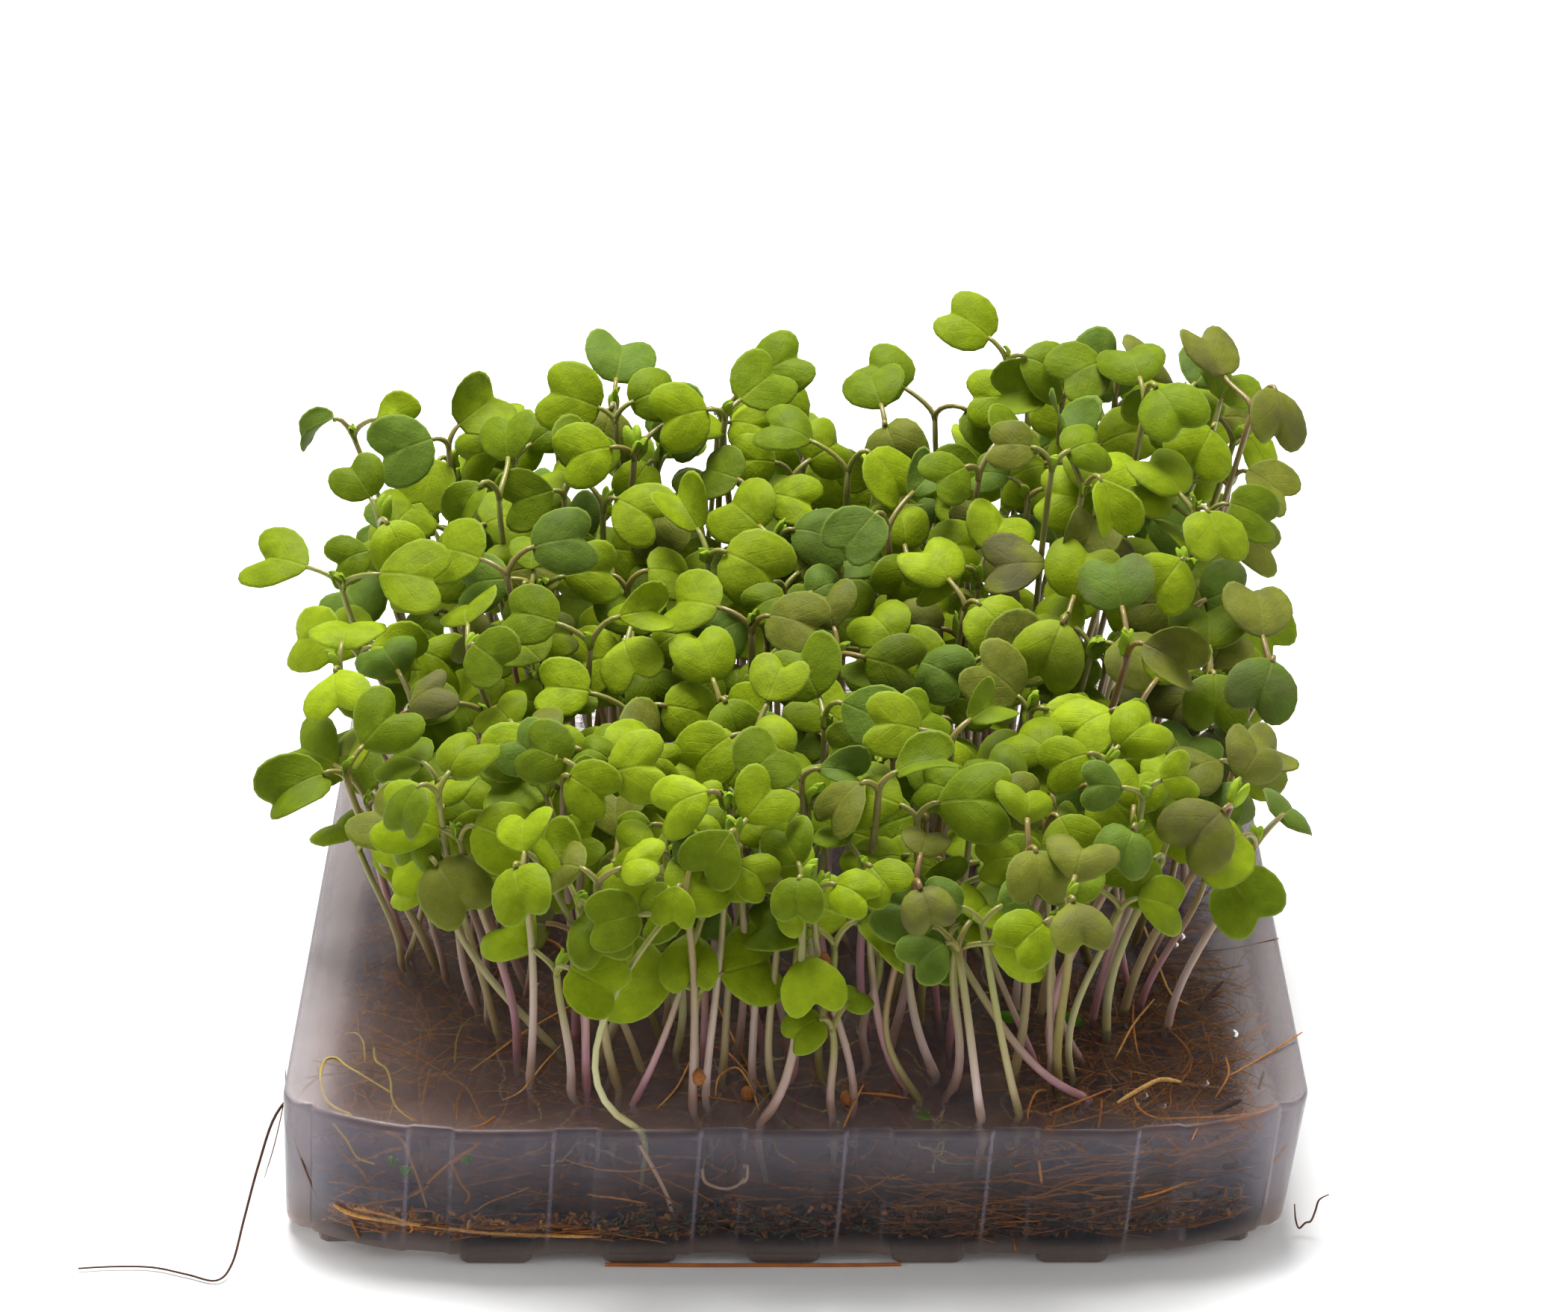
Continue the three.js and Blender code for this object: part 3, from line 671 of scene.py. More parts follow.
def pair_places():
    """Row, x, y and turn of each pair, on a loose grid that is narrower in front."""
    places = []
    for row in range(SOWN_ROWS):
        for column in range(SOWN_COLUMNS):
            random = seeded_random(SEED + 97 * row + 7 * column)
            stagger = 0.25 if row % 2 else -0.25
            u = (column + stagger) / (SOWN_COLUMNS - 1) * 2 - 1
            v = row / (SOWN_ROWS - 1)
            x = u * SOWN_HALF_X * min(1, 0.74 + 1.1 * v) + (random() - 0.5) * 5
            y = SOWN_FRONT + v * (SOWN_BACK - SOWN_FRONT) + (random() - 0.5) * 5
            if row or 0 < column < SOWN_COLUMNS - 1:
                places.append((row, x, y, random() * math.pi))
    return places


def fork_height(x, y):
    """Height of the fork over the gel: short in front, tall behind, tallest at the right back."""
    towards_back = (y - SOWN_FRONT) / (SOWN_BACK - SOWN_FRONT)
    tall_patch = math.exp(-(((x - 40) / 16) ** 2) - ((y - 34) / 24) ** 2)
    low_patch = math.exp(-(((x - 17) / 8) ** 2) - ((y - 40) / 20) ** 2)
    return 24 + 24 * min(1, 1.25 * towards_back) + 16 * tall_patch - 6 * low_patch


def draw_seedling(random, place, side, shortest=0.66, leaf_scale=1.0, stalk_scale=1.0):
    """One seedling: its path from root to fork, and the frames of its two seed leaves."""
    row, place_x, place_y, place_turn = place
    spread = 2.6 + 2.2 * random()
    x = place_x + side * spread * math.cos(place_turn)
    y = place_y + side * spread * math.sin(place_turn)
    height = fork_height(x, y) * (shortest + 0.38 * random())
    reach = height / 45
    edgeward = max(-1, min(1, x / SOWN_HALF_X)) ** 3
    lean_x = reach * (edgeward * 11 + (random() - 0.5) * 10)
    lean_y = reach * (y / SOWN_BACK * 4 - 4 + (random() - 0.5) * 12)
    root_x = place_x + side * ROOT_SPREAD * math.cos(place_turn)
    root_y = place_y + side * ROOT_SPREAD * math.sin(place_turn)
    third = height / 3
    fork_x, fork_y, fork_z = x + lean_x, y + lean_y, SLAB_TOP + height
    stem = [(x, y, SLAB_TOP)]
    bend_x, bend_y = (random() - 0.5) * 6, (random() - 0.5) * 6
    stem.append((x + lean_x * 0.1 + bend_x, y + lean_y * 0.1 + bend_y, SLAB_TOP + third))
    bend_x, bend_y = (random() - 0.5) * 3, (random() - 0.5) * 3
    stem.append((fork_x - lean_x * 0.25 + bend_x, fork_y - lean_y * 0.25 + bend_y, fork_z - third))
    stem.append((fork_x, fork_y, fork_z))
    return grow(random, row, (root_x, root_y, ROOT_LEVEL), stem, leaf_scale, stalk_scale)


def grow(random, row, root, stem, leaf_scale=1.0, stalk_scale=1.0):
    """The seedling on a given root and stem, with the frames of its two seed leaves."""
    root, stem = np.array(root, float), np.array(stem, float)
    fork = stem[3]
    azimuth = random() * 2 * math.pi
    size = (0.9 + 0.26 * random()) * leaf_scale
    facing_x = 0.2 * (stem[0][0] / SOWN_HALF_X) + (random() - 0.5) * 0.8
    facing = np.array([facing_x, -0.62 + (random() - 0.5) * 0.7, 0.78])
    leaves = []
    for which in (0, 1):
        turn = azimuth + which * math.pi + (random() - 0.5) * 0.7
        outward = np.array([math.cos(turn), math.sin(turn), 0])
        normal = facing + outward * (0.2 + 0.3 * (random() - 0.5))
        normal[0] += (random() - 0.5) * 0.35
        normal[1] += (random() - 0.5) * 0.35
        normal = unit(normal)
        length = size * (7 + 1.6 * random())
        width = length * (1.14 + 0.2 * random())
        petiole = (3.6 + 3.4 * random()) * stalk_scale
        lift = 0.35 + 0.5 * random()
        foot = fork + outward * (petiole * math.cos(lift))
        foot[2] += petiole * math.sin(lift)
        along = outward + np.array([0, 0, 0.25])
        along = unit(along - normal * (along @ normal))
        leaf = {"foot": foot, "along": along, "across": np.cross(along, normal), "normal": normal}
        leaf |= {"length": length, "width": width}
        leaf |= {"fold": 0.05 + 0.3 * random(), "droop": 0.25 * random() - 0.05}
        leaves.append(leaf)
    return {"row": row, "root": root, "stem": stem, "leaves": leaves}


def bezier(stem, shares):
    t = np.asarray(shares, float)[:, None]
    return (
        (1 - t) ** 3 * stem[0]
        + 3 * t * (1 - t) ** 2 * stem[1]
        + 3 * t * t * (1 - t) * stem[2]
        + t**3 * stem[3]
    )


def blade_points(leaf, x, y, lift=0.0, soft=0.0):
    """Points of a blade: x from -1 to 1 across it, and y from 0 to 1 along it.

    Its halves fold up along the midrib, whose crease soft rounds off."""
    x, y = np.asarray(x, float)[..., None], np.asarray(y, float)[..., None]
    lift = np.asarray(lift, float)[..., None] if np.ndim(lift) else lift
    fold = leaf["fold"] * (np.sqrt(x * x + soft * soft) - soft) * leaf["width"] / 2
    rise = fold - leaf["droop"] * y * y * leaf["length"]
    flat = leaf["foot"] + leaf["across"] * (x * leaf["width"] / 2) + leaf["along"] * (y * leaf["length"])
    return flat + leaf["normal"] * (rise + lift)


SAMPLE_Y = np.repeat([0.08, 0.28, 0.48, 0.68, 0.88], 7)
SAMPLE_X = np.tile([-1, -0.66, -0.33, 0, 0.33, 0.66, 1], 5)
SAMPLE_X = SAMPLE_X * np.where(SAMPLE_Y < 0.2, 0.45, np.where(SAMPLE_Y > 0.8, 0.75, 0.95))
STEM_SHARES = np.arange(13) / 12


def sample_points(seedling):
    """Points spread over a seedling, by which its distance from its neighbours is judged."""
    samples = [bezier(seedling["stem"], STEM_SHARES)]
    for leaf in seedling["leaves"]:
        samples.append(((seedling["stem"][3] + leaf["foot"]) / 2)[None])
        samples.append(blade_points(leaf, SAMPLE_X, SAMPLE_Y))
    return np.concatenate(samples)


class Crowd:
    """The plants that already stand, as sample points with a box round each plant's own."""

    def __init__(self):
        self.points = []
        self.lows = np.empty((0, 3))
        self.highs = np.empty((0, 3))

    def is_clear(self, samples, clearance):
        low, high = samples.min(0) - clearance, samples.max(0) + clearance
        near = np.flatnonzero(((self.lows <= high) & (self.highs >= low)).all(1))
        for index in near:
            apart = samples[:, None] - self.points[index][None]
            if (apart**2).sum(2).min() < clearance**2:
                return False
        return True

    def add(self, samples):
        self.points.append(samples)
        self.lows = np.vstack([self.lows, samples.min(0)])
        self.highs = np.vstack([self.highs, samples.max(0)])


crowd = Crowd()
seedlings = []
row_nodes = [[] for _ in range(SOWN_ROWS)]
for pair, place in enumerate(pair_places(), start=1):
    row_nodes[place[0]].append(f"seedlings_{pair:02d}")
    for side in (1, -1):
        for attempt in range(ATTEMPTS):
            random = seeded_random(SEED + 10007 * pair + 503 * side + 13 * attempt)
            seedling = draw_seedling(random, place, side)
            samples = sample_points(seedling)
            if crowd.is_clear(samples, LEAF_CLEARANCE):
                crowd.add(samples)
                seedlings.append(seedling)
                break

# Plants that stand out: the tone of the stem's foot, the leaves' size, where the stem comes out of
# the gel, and the three control points that its curve goes on to.
SINGLED_OUT = [
    (2, 0.84, (-31.8, -43.4), [(-37.4, -43.1, 27.6), (-46.8, -42.7, 35.9), (-46.5, -42.2, 51)]),
    (0, 1, (-48.4, -12.2), [(-44.6, -11.9, 22.9), (-44.1, -11.4, 28.1), (-38, -11.2, 34)]),
    (1, 1, (-46.6, -25.8), [(-47.1, -25.8, 27.6), (-51.8, -25.8, 34.5), (-46.5, -25.8, 49.8)]),
    (3, 1, (-51.9, -20.4), [(-50.1, -20.4, 25), (-49.5, -20.4, 29.8), (-47.6, -20.4, 38)]),
    (3, 1, (-52.8, -21.5), [(-52.8, -20.5, 25.3), (-56, -20, 30), (-58, -20, 37)]),
    (1, 1, (-41.3, -18.5), [(-39.7, -18.5, 24), (-38.6, -18.5, 27.8), (-38.4, -18.5, 38)]),
    (1, 1, (-35.6, -30.3), [(-34.5, -30.3, 25), (-34.5, -30.3, 29.7), (-33, -30.3, 44.6)]),
    (4, 0.84, (-27.1, -46.2), [(-26.7, -46.2, 27.7), (-30.1, -46.2, 36.6), (-23, -46.2, 48.3)]),
    (3, 0.84, (-20.1, -48.7), [(-22.8, -48.7, 30.8), (-28.3, -48.7, 40.1), (-32.2, -48.7, 49.9)]),
    (5, 0.84, (-17.9, -40.5), [(-20.3, -40, 29.4), (-27.6, -40, 35.7), (-31.9, -38.5, 52.4)]),
    (2, 0.84, (-20.4, -63.6), [(-30.6, -63, 26.3), (-22.4, -62.5, 41.3), (-16.1, -62, 49.6)]),
    (4, 0.84, (-20.4, -56.9), [(-17.2, -56.9, 27.2), (-14.8, -56.9, 34.4), (-11.6, -56.9, 47.2)]),
    (3, 0.84, (-25.1, -45.7), [(-23.4, -45.7, 26.6), (-18.5, -45.7, 31.3), (-17.9, -45.7, 47)]),
    (3, 1, (-16.9, -38), [(-15.7, -38, 28.5), (-18.5, -38, 36.5), (-20, -38, 50.5)]),
    (1, 0.84, (-13.1, -58.8), [(-13.2, -58.8, 28.2), (-11.3, -58.8, 35.8), (-12.8, -58.8, 49.7)]),
    (0, 0.84, (-11.5, -56.4), [(-11.3, -56.4, 27.7), (-10.5, -56.4, 34.9), (-10.8, -56.4, 47.9)]),
    (3, 0.84, (-9.4, -50.5), [(-8.7, -50.5, 27.3), (-10.1, -50.5, 34.3), (-8, -50.5, 48.2)]),
    (0, 0.84, (-5.6, -52), [(-5.8, -52, 27.5), (-5.7, -52, 34.4), (-7, -52, 46.8)]),
    (3, 0.84, (-2.9, -54.5), [(-4.5, -54.5, 27), (-4, -54.5, 33.8), (-4.8, -54.5, 45.7)]),
    (1, 0.84, (-1.1, -44), [(-1.3, -44, 26.7), (-5.6, -44, 31.2), (-8.8, -44, 43.4)]),
    (1, 0.84, (-3.9, -61.4), [(0.6, -61.4, 26.9), (0, -60.5, 35.2), (-0.3, -59.8, 48.5)]),
    (1, 0.6, (4.4, -59.5), [(3.9, -59.5, 24.8), (5.4, -60, 28.5), (4.4, -61, 33.4)]),
    (1, 0.84, (7.3, -57.8), [(7.5, -57.8, 31.3), (-0.1, -57, 41.2), (2.9, -57, 50)]),
    (4, 0.84, (13.6, -53), [(9.6, -53, 27.5), (9.2, -53, 35.6), (7.7, -53, 49.6)]),
    (5, 0.84, (15.2, -56), [(9, -56, 30.5), (10, -56, 31), (12.4, -56, 49)]),
    (0, 0.84, (17.6, -49.8), [(15.2, -49.8, 26.1), (13.9, -49.8, 32.2), (13.6, -49.8, 46.2)]),
    (0, 0.84, (23.3, -60.6), [(22.5, -60.6, 25.4), (22.2, -60.6, 30.4), (20.1, -59.7, 44.1)]),
    (3, 0.84, (28.1, -59.6), [(26.7, -59.6, 26.1), (25.2, -59.6, 31.6), (22.5, -58.7, 46.7)]),
    (4, 0.84, (36.3, -56.3), [(30.6, -56.1, 23), (26.2, -55.9, 27.9), (18.4, -55.5, 42.5)]),
    (4, 0.84, (30.7, -47.1), [(29.2, -47.1, 24.6), (27.3, -47.1, 28.6), (20.9, -47.1, 45.5)]),
    (4, 0.84, (33.4, -50.6), [(29.4, -49.4, 31.9), (38.9, -47.8, 42.3), (42.5, -46.3, 52.5)]),
    (1, 0.84, (36.5, -46.4), [(33.7, -46.4, 25.2), (32, -46.4, 30.1), (31.2, -46.4, 46.1)]),
    (4, 1, (44.1, -27.5), [(43.2, -27.5, 25.5), (42, -27.5, 30.5), (41.4, -27.5, 51.2)]),
    (5, 0.8, (45.8, -6.2), [(46, -5.8, 24.4), (50, -5.5, 28.4), (59, -7, 35.5)]),
    (3, 1, (30, 44), [(29, 45, 42), (31, 44, 62), (30, 43, 81)]),
    (5, 1, (36, 40), [(37, 41, 40), (37, 43, 58), (38, 42, 75)]),
    (3, 1, (44, 42), [(43, 43, 40), (45, 43, 60), (46, 43, 77)]),
    (1, 1, (50, 38), [(51, 39, 40), (54, 40, 60), (55, 41, 76)]),
    (4, 1, (47, 30), [(52, 31, 38), (60, 32, 52), (61, 33, 66)]),
    (3, 1, (-44, 42), [(-45, 43, 36), (-49, 43, 52), (-49, 43, 68)]),
    (3, 1, (-26, 45), [(-27, 45, 38), (-24, 44, 55), (-25, 43, 72)]),
    (5, 1, (-12, 44), [(-10, 45, 38), (-13, 44, 55), (-12, 43, 71)]),
    (1, 1, (14, 44), [(15, 45, 38), (12, 44, 55), (13, 43, 71)]),
    (3, 1, (-48, 10), [(-52, 10, 32), (-60, 9, 42), (-59.5, 8, 52)]),
    (0, 1, (-47, -2), [(-53, -3, 30), (-60, -4, 40), (-57.5, -6, 46)]),
]
for number, (tone, size, foot, bends) in enumerate(SINGLED_OUT):
    stem = np.array([(*foot, SLAB_TOP), *bends], float)
    row = round((stem[0][1] - SOWN_FRONT) / (SOWN_BACK - SOWN_FRONT) * (SOWN_ROWS - 1))
    root = stem[0] * (0.97, 0.95, ROOT_LEVEL / SLAB_TOP)
    for attempt in range(ATTEMPTS):
        random = seeded_random(11 * SEED + 7919 * number + 17 * attempt)
        loose = min(1, attempt / 80)
        shift = loose * np.array([6 * random() - 3, 6 * random() - 3, 7 * random()])
        tried = stem + shift * [[0], [0], [0.5], [1]]
        leaf_scale = size * (1 - 0.35 * loose * random())
        seedling = grow(random, min(6, max(0, row)), root, tried, leaf_scale, SHORT_STALK)
        samples = sample_points(seedling)
        if crowd.is_clear(samples[STEM_SHARES.size :], FILLER_CLEARANCE) or attempt == ATTEMPTS - 1:
            seedling["tone"] = tone
            crowd.add(samples)
            seedlings.append(seedling)
            break

for filler in range(FILLER_COUNT):
    for attempt in range(FILLER_ATTEMPTS):
        random = seeded_random(7 * SEED + 9973 * filler + 31 * attempt)
        v = (filler + random()) / FILLER_COUNT
        y = SOWN_FRONT - 3 + v * (SOWN_BACK - SOWN_FRONT + 6)
        x = (random() * 2 - 1) * (SOWN_HALF_X + 6) * min(1, 0.66 + 1.1 * v)
        row = min(SOWN_ROWS - 1, int(v * SOWN_ROWS))
        place = (row, x, y, random() * math.pi)
        low, size = ((0.95, 1.0), (1.1, 0.85), (0.55, 1.0), (0.6, 0.85))[filler % 2 + 2 * (y > -34)]
        seedling = draw_seedling(random, place, 0, low, size, SHORT_STALK)
        samples = sample_points(seedling)
        if not ((CANOPY_LOW <= samples) & (samples <= CANOPY_HIGH)).all():
            continue
        if crowd.is_clear(samples, FILLER_CLEARANCE):
            crowd.add(samples)
            seedlings.append(seedling)
            break


ATTRIBUTE_KINDS = {(4,): ("FLOAT_COLOR", "color"), (3,): ("FLOAT_VECTOR", "vector")}
ATTRIBUTE_KINDS[()] = ("FLOAT", "value")


class Bed:
    """Vertices, faces and painted values gathered from many small shapes for one object."""

    def __init__(self):
        self.count = 0
        self.vertices = []
        self.faces = []
        self.values = {}

    def add(self, vertices, faces, **values):
        self.faces += [tuple(self.count + corner for corner in face) for face in faces]
        self.vertices.append(vertices)
        self.count += len(vertices)
        for name, value in values.items():
            self.values.setdefault(name, []).append(value)

    def make(self, name, material):
        made = new_object(name, np.concatenate(self.vertices), self.faces, material)
        for key_name, parts in self.values.items():
            value = np.concatenate(parts)
            kind, field = ATTRIBUTE_KINDS[value.shape[1:]]
            attribute = made.data.attributes.new(key_name, kind, "POINT")
            attribute.data.foreach_set(field, value.astype(np.float32).ravel())
        return made


def tube(points, radii, sides):
    """A closed tube along points, of a radius at each."""
    points = np.asarray(points)
    tangents = np.gradient(points, axis=0)
    tangents /= np.linalg.norm(tangents, axis=1)[:, None]
    side = unit(np.cross(tangents[0], (0.31, 0.95, 0.05)))
    rings = []
    turns = np.linspace(0, 2 * math.pi, sides, endpoint=False)
    for point, tangent, radius in zip(points, tangents, radii):
        side = unit(side - tangent * (side @ tangent))
        up = np.cross(tangent, side)
        rings.append(point + radius * (np.cos(turns)[:, None] * side + np.sin(turns)[:, None] * up))
    return ring_surface(rings, True)


# The seed leaf's outline from beside its foot, round its lobe, to the notch: a wedge-footed
# leaf's and a round-footed one's.
WEDGE_OUTLINE = [(0.09, 0.0), (0.27, 0.07), (0.53, 0.18), (0.78, 0.33), (0.95, 0.51), (1.0, 0.69)]
WEDGE_OUTLINE += [(0.95, 0.85), (0.8, 0.965), (0.59, 1.01), (0.38, 0.985), (0.2, 0.92), (0.07, 0.85)]
WEDGE_OUTLINE += [(0.0, 0.83)]
ROUND_OUTLINE = [(0.09, 0.0), (0.38, -0.02), (0.7, 0.07), (0.92, 0.24), (1.0, 0.45), (0.99, 0.65)]
ROUND_OUTLINE += [(0.91, 0.82), (0.75, 0.945), (0.56, 1.0), (0.37, 0.99), (0.2, 0.94), (0.07, 0.89)]
ROUND_OUTLINE += [(0.0, 0.875)]
BLADE_MIDDLE = (0.0, 0.44)
BLADE_RINGS = (0.3, 0.54, 0.76, 0.91, 1)
BLADE_HALF_THICKNESS = 0.17
BLADE_FLATTENING = 0.55  # how much of a solid's sharper fold a blade loses
BLADE_SOFTNESS = 0.6  # how far from the midrib, of half the width, the fold is rounded off


def blade(leaf, random):
    """Vertices, faces, and the place of each vertex on the blade: x, y and nearness to the rim."""
    wedge = random()
    right = np.array(WEDGE_OUTLINE) * wedge + np.array(ROUND_OUTLINE) * (1 - wedge)
    right[-4:, 1] -= np.array([0.01, 0.035, 0.07, 0.09]) * random() ** 2
    rim_line = np.vstack([right, right[-2::-1] * (-1, 1)])
    phases = [random() * 6.3, random() * 6.3]
    curl = (random() - 0.72) * 1.3
    puff = 0.1 + 0.2 * random()
    dome = 0.35 + 0.5 * random()
    cup = 0.55 + 0.4 * random() if random() < 0.07 else 0.1 * random()
    middle = np.array(BLADE_MIDDLE)
    xy = np.vstack([middle, *(middle + (rim_line - middle) * share for share in BLADE_RINGS)])
    rim = np.repeat([0, *BLADE_RINGS], [1] + [len(rim_line)] * len(BLADE_RINGS))
    wave = 0.24 * np.sin(4.3 * xy[:, 1] + 2.6 * xy[:, 0] + phases[0])
    wave += 0.12 * np.sin(9 * xy[:, 1] - 5 * xy[:, 0] + phases[1])
    lobes = np.sin(math.pi * np.clip(np.abs(xy[:, 0]), 0, 1) ** 0.8)
    lifts = wave * rim**2 + curl * rim**3 + dome * (1 - rim**2)
    lifts += puff * lobes * np.sin(math.pi * np.clip(xy[:, 1], 0, 1))
    lifts -= BLADE_FLATTENING * leaf["fold"] * (np.hypot(xy[:, 0], BLADE_SOFTNESS) - BLADE_SOFTNESS) * (
        leaf["width"] / 2
    )
    lifts += cup * xy[:, 0] ** 2 * leaf["width"] / 2
    thick = BLADE_HALF_THICKNESS * np.sqrt(np.clip(1 - rim**4, 0.12, 1))
    narrowed = xy[:, 0] * (1 - 0.35 * cup)
    upper = blade_points(leaf, narrowed, xy[:, 1], lifts + thick, BLADE_SOFTNESS)
    lower = blade_points(leaf, narrowed, xy[:, 1], lifts - thick, BLADE_SOFTNESS)
    count, total = len(rim_line), len(xy)
    after = [(i + 1) % count for i in range(count)]
    faces = [(0, 1 + i, 1 + after[i]) for i in range(count)]
    for inner in range(1, total - count, count):
        outer = inner + count
        faces += [(inner + i, outer + i, outer + after[i], inner + after[i]) for i in range(count)]
    faces += [tuple(total + corner for corner in face[::-1]) for face in faces]
    edge = total - count
    faces += [(edge + after[i], edge + i, total + edge + i, total + edge + after[i]) for i in range(count)]
    place = np.column_stack([xy, rim])
    return np.concatenate([upper, lower]), faces, np.concatenate([place, place])


FRESH = srgb(136, 156, 18)
MIDDLE_GREEN = srgb(112, 132, 17)
YELLOW_GREEN = srgb(152, 172, 28)
BLUE_GREEN = srgb(100, 124, 40)
OLIVE = srgb(122, 128, 44)
FLUSH = srgb(86, 78, 62)
UNDERSIDE = srgb(132, 148, 74)
RIB_GREEN, RIB_RED = srgb(160, 170, 70), srgb(120, 84, 60)
RIM_GREEN, RIM_RED = srgb(150, 172, 70), srgb(110, 84, 60)
STEM_FEET = [srgb(204, 182, 174), srgb(168, 142, 132), srgb(196, 196, 146)]
STEM_FEET += [srgb(178, 164, 122), srgb(188, 142, 152), srgb(142, 134, 80)]
STEM_GREEN = srgb(134, 140, 58)
STEM_BROWN = srgb(124, 84, 58)
BUD_GREEN = srgb(160, 186, 52)
LEAF_GLOSS = 0.1
LEAF_GLOW = (1.25, 1.3, 0.6, 1)  # how light that comes through a blade is tinted,
LEAF_GLOW_SHARE = 0.3  # and how much of the blade's look it makes

leaf_material, leaf_surface, leaf_place = new_material("seed_leaf")
tint = stored(leaf_place, "tint", 0)
flush = stored(leaf_place, "flush")
blade_x, blade_y, nearness = stored(leaf_place, "blade", 1).split()
off_rib = blade_x.math("ABSOLUTE", blade_x)
mottle = noise(leaf_place, 420, 3, 0.6).step(0.25, 0.75)
speckle = noise(leaf_place, 4200, 1)
side_veins = blade_y * 4.2 - off_rib * 2.6
side_veins = side_veins.math("PINGPONG", side_veins, 0.5)
veins = (1 - side_veins.step(0.0, 0.12)) * off_rib.step(0.04, 0.2) * (1 - nearness.step(0.5, 0.9))
rib = (1 - off_rib.step(0.01, 0.06)) * (1 - blade_y.step(0.2, 0.75))
body = mottle.mix(tint.tinted((0.8, 0.82, 0.8, 1)), tint.tinted((1.12, 1.1, 1.1, 1)))
body = speckle.step(0.56, 0.76).mix(body, body.tinted((1.16, 1.12, 1.3, 1)))
body = (veins * 0.06).mix(body, tint.tinted((1.3, 1.2, 1.3, 1)))
blotches = noise(leaf_place, 150, 2).step(0.38, 0.66)
blush = (flush * (blotches * 0.8 + mottle * 0.3 + 0.1)).step(0.1, 0.9)
body = (blush * 0.62).mix(body, FLUSH)
body = (rib * 0.22).mix(body, flush.mix(RIB_GREEN, RIB_RED))
body = (nearness.step(0.93, 1.0) * 0.5).mix(body, flush.mix(RIM_GREEN, RIM_RED))
leaf_relief = mottle * 0.5 + veins * -0.15 + rib * -0.4 + speckle * 0.3
leaf_normal = bump(leaf_relief, 0.00014)
feed(leaf_surface, Base_Color=body, Roughness=0.5 + 0.1 * mottle, Normal=leaf_normal)
feed(leaf_surface, Specular_IOR_Level=LEAF_GLOSS)
glow = leaf_place.node(
    "ShaderNodeBsdfTranslucent", {}, {"Color": body.tinted(LEAF_GLOW), "Normal": leaf_normal}
)
leaf_tree = leaf_material.node_tree
leaf_mix = leaf_tree.nodes.new("ShaderNodeMixShader")
leaf_mix.inputs[0].default_value = LEAF_GLOW_SHARE
leaf_tree.links.new(leaf_surface.outputs[0], leaf_mix.inputs[1])
leaf_tree.links.new(glow.socket, leaf_mix.inputs[2])
leaf_tree.links.new(leaf_mix.outputs[0], leaf_tree.nodes["Material Output"].inputs["Surface"])

stem_material, stem_surface, stem_place = new_material("stem_flesh")
stem_streaks = noise(
    stem_place.node("ShaderNodeMapping", {}, {"Vector": stem_place, "Scale": (1, 1, 0.2)}), 1500, 2
)
stem_tint = stored(stem_place, "tint", 0)
feed(
    stem_surface,
    Base_Color=stem_streaks.mix(
        stem_tint.tinted((0.84, 0.8, 0.82, 1)), stem_tint.tinted((1.1, 1.1, 1.08, 1))
    ),
    Roughness=0.38,
    Subsurface_Weight=0.15,
    Subsurface_Scale=0.001,
    Normal=bump(stem_streaks, 0.00006),
)


def blended(low, high, shares):
    """Colours from low to high, one for each share."""
    shares = np.asarray(shares, float)[:, None]
    return np.array(low) * (1 - shares) + np.array(high) * shares


def smooth(values, low, high):
    t = np.clip((np.asarray(values, float) - low) / (high - low), 0, 1)
    return t * t * (3 - 2 * t)


def leaf_tint(random, flushed):
    """A leaf's own green, picked from the tray's range and then shifted a little."""
    pick = random()
    steps = [(0.34, FRESH), (0.62, MIDDLE_GREEN), (0.78, YELLOW_GREEN), (0.91, BLUE_GREEN), (1.01, OLIVE)]
    green = OLIVE if flushed > 0.5 and pick < 0.6 else next(g for top, g in steps if pick < top)
    level = 0.82 + 0.36 * random()
    return np.array([green[0] * level, green[1] * level, green[2] * level, 1])


def add_blade(bed, leaf, random, tint_now, flushed):
    vertices, faces, place = blade(leaf, random)
    half = len(vertices) // 2
    tints = np.tile(tint_now, (len(vertices), 1))
    tints[half:] = tint_now * 0.72 + np.array(UNDERSIDE) * 0.28
    flushes = np.full(len(vertices), flushed)
    flushes[half:] *= 0.6
    bed.add(vertices, faces, tint=tints, flush=flushes, blade=place)


STEM_RADIUS, STEM_RADIUS_SPREAD = 0.44, 0.16
STEM_SIDES, STALK_SIDES, ROOTLET_SIDES = 8, 6, 4
TRUE_LEAF_CHANCE = 0.55
ROOTLET_CHANCE = 0.4

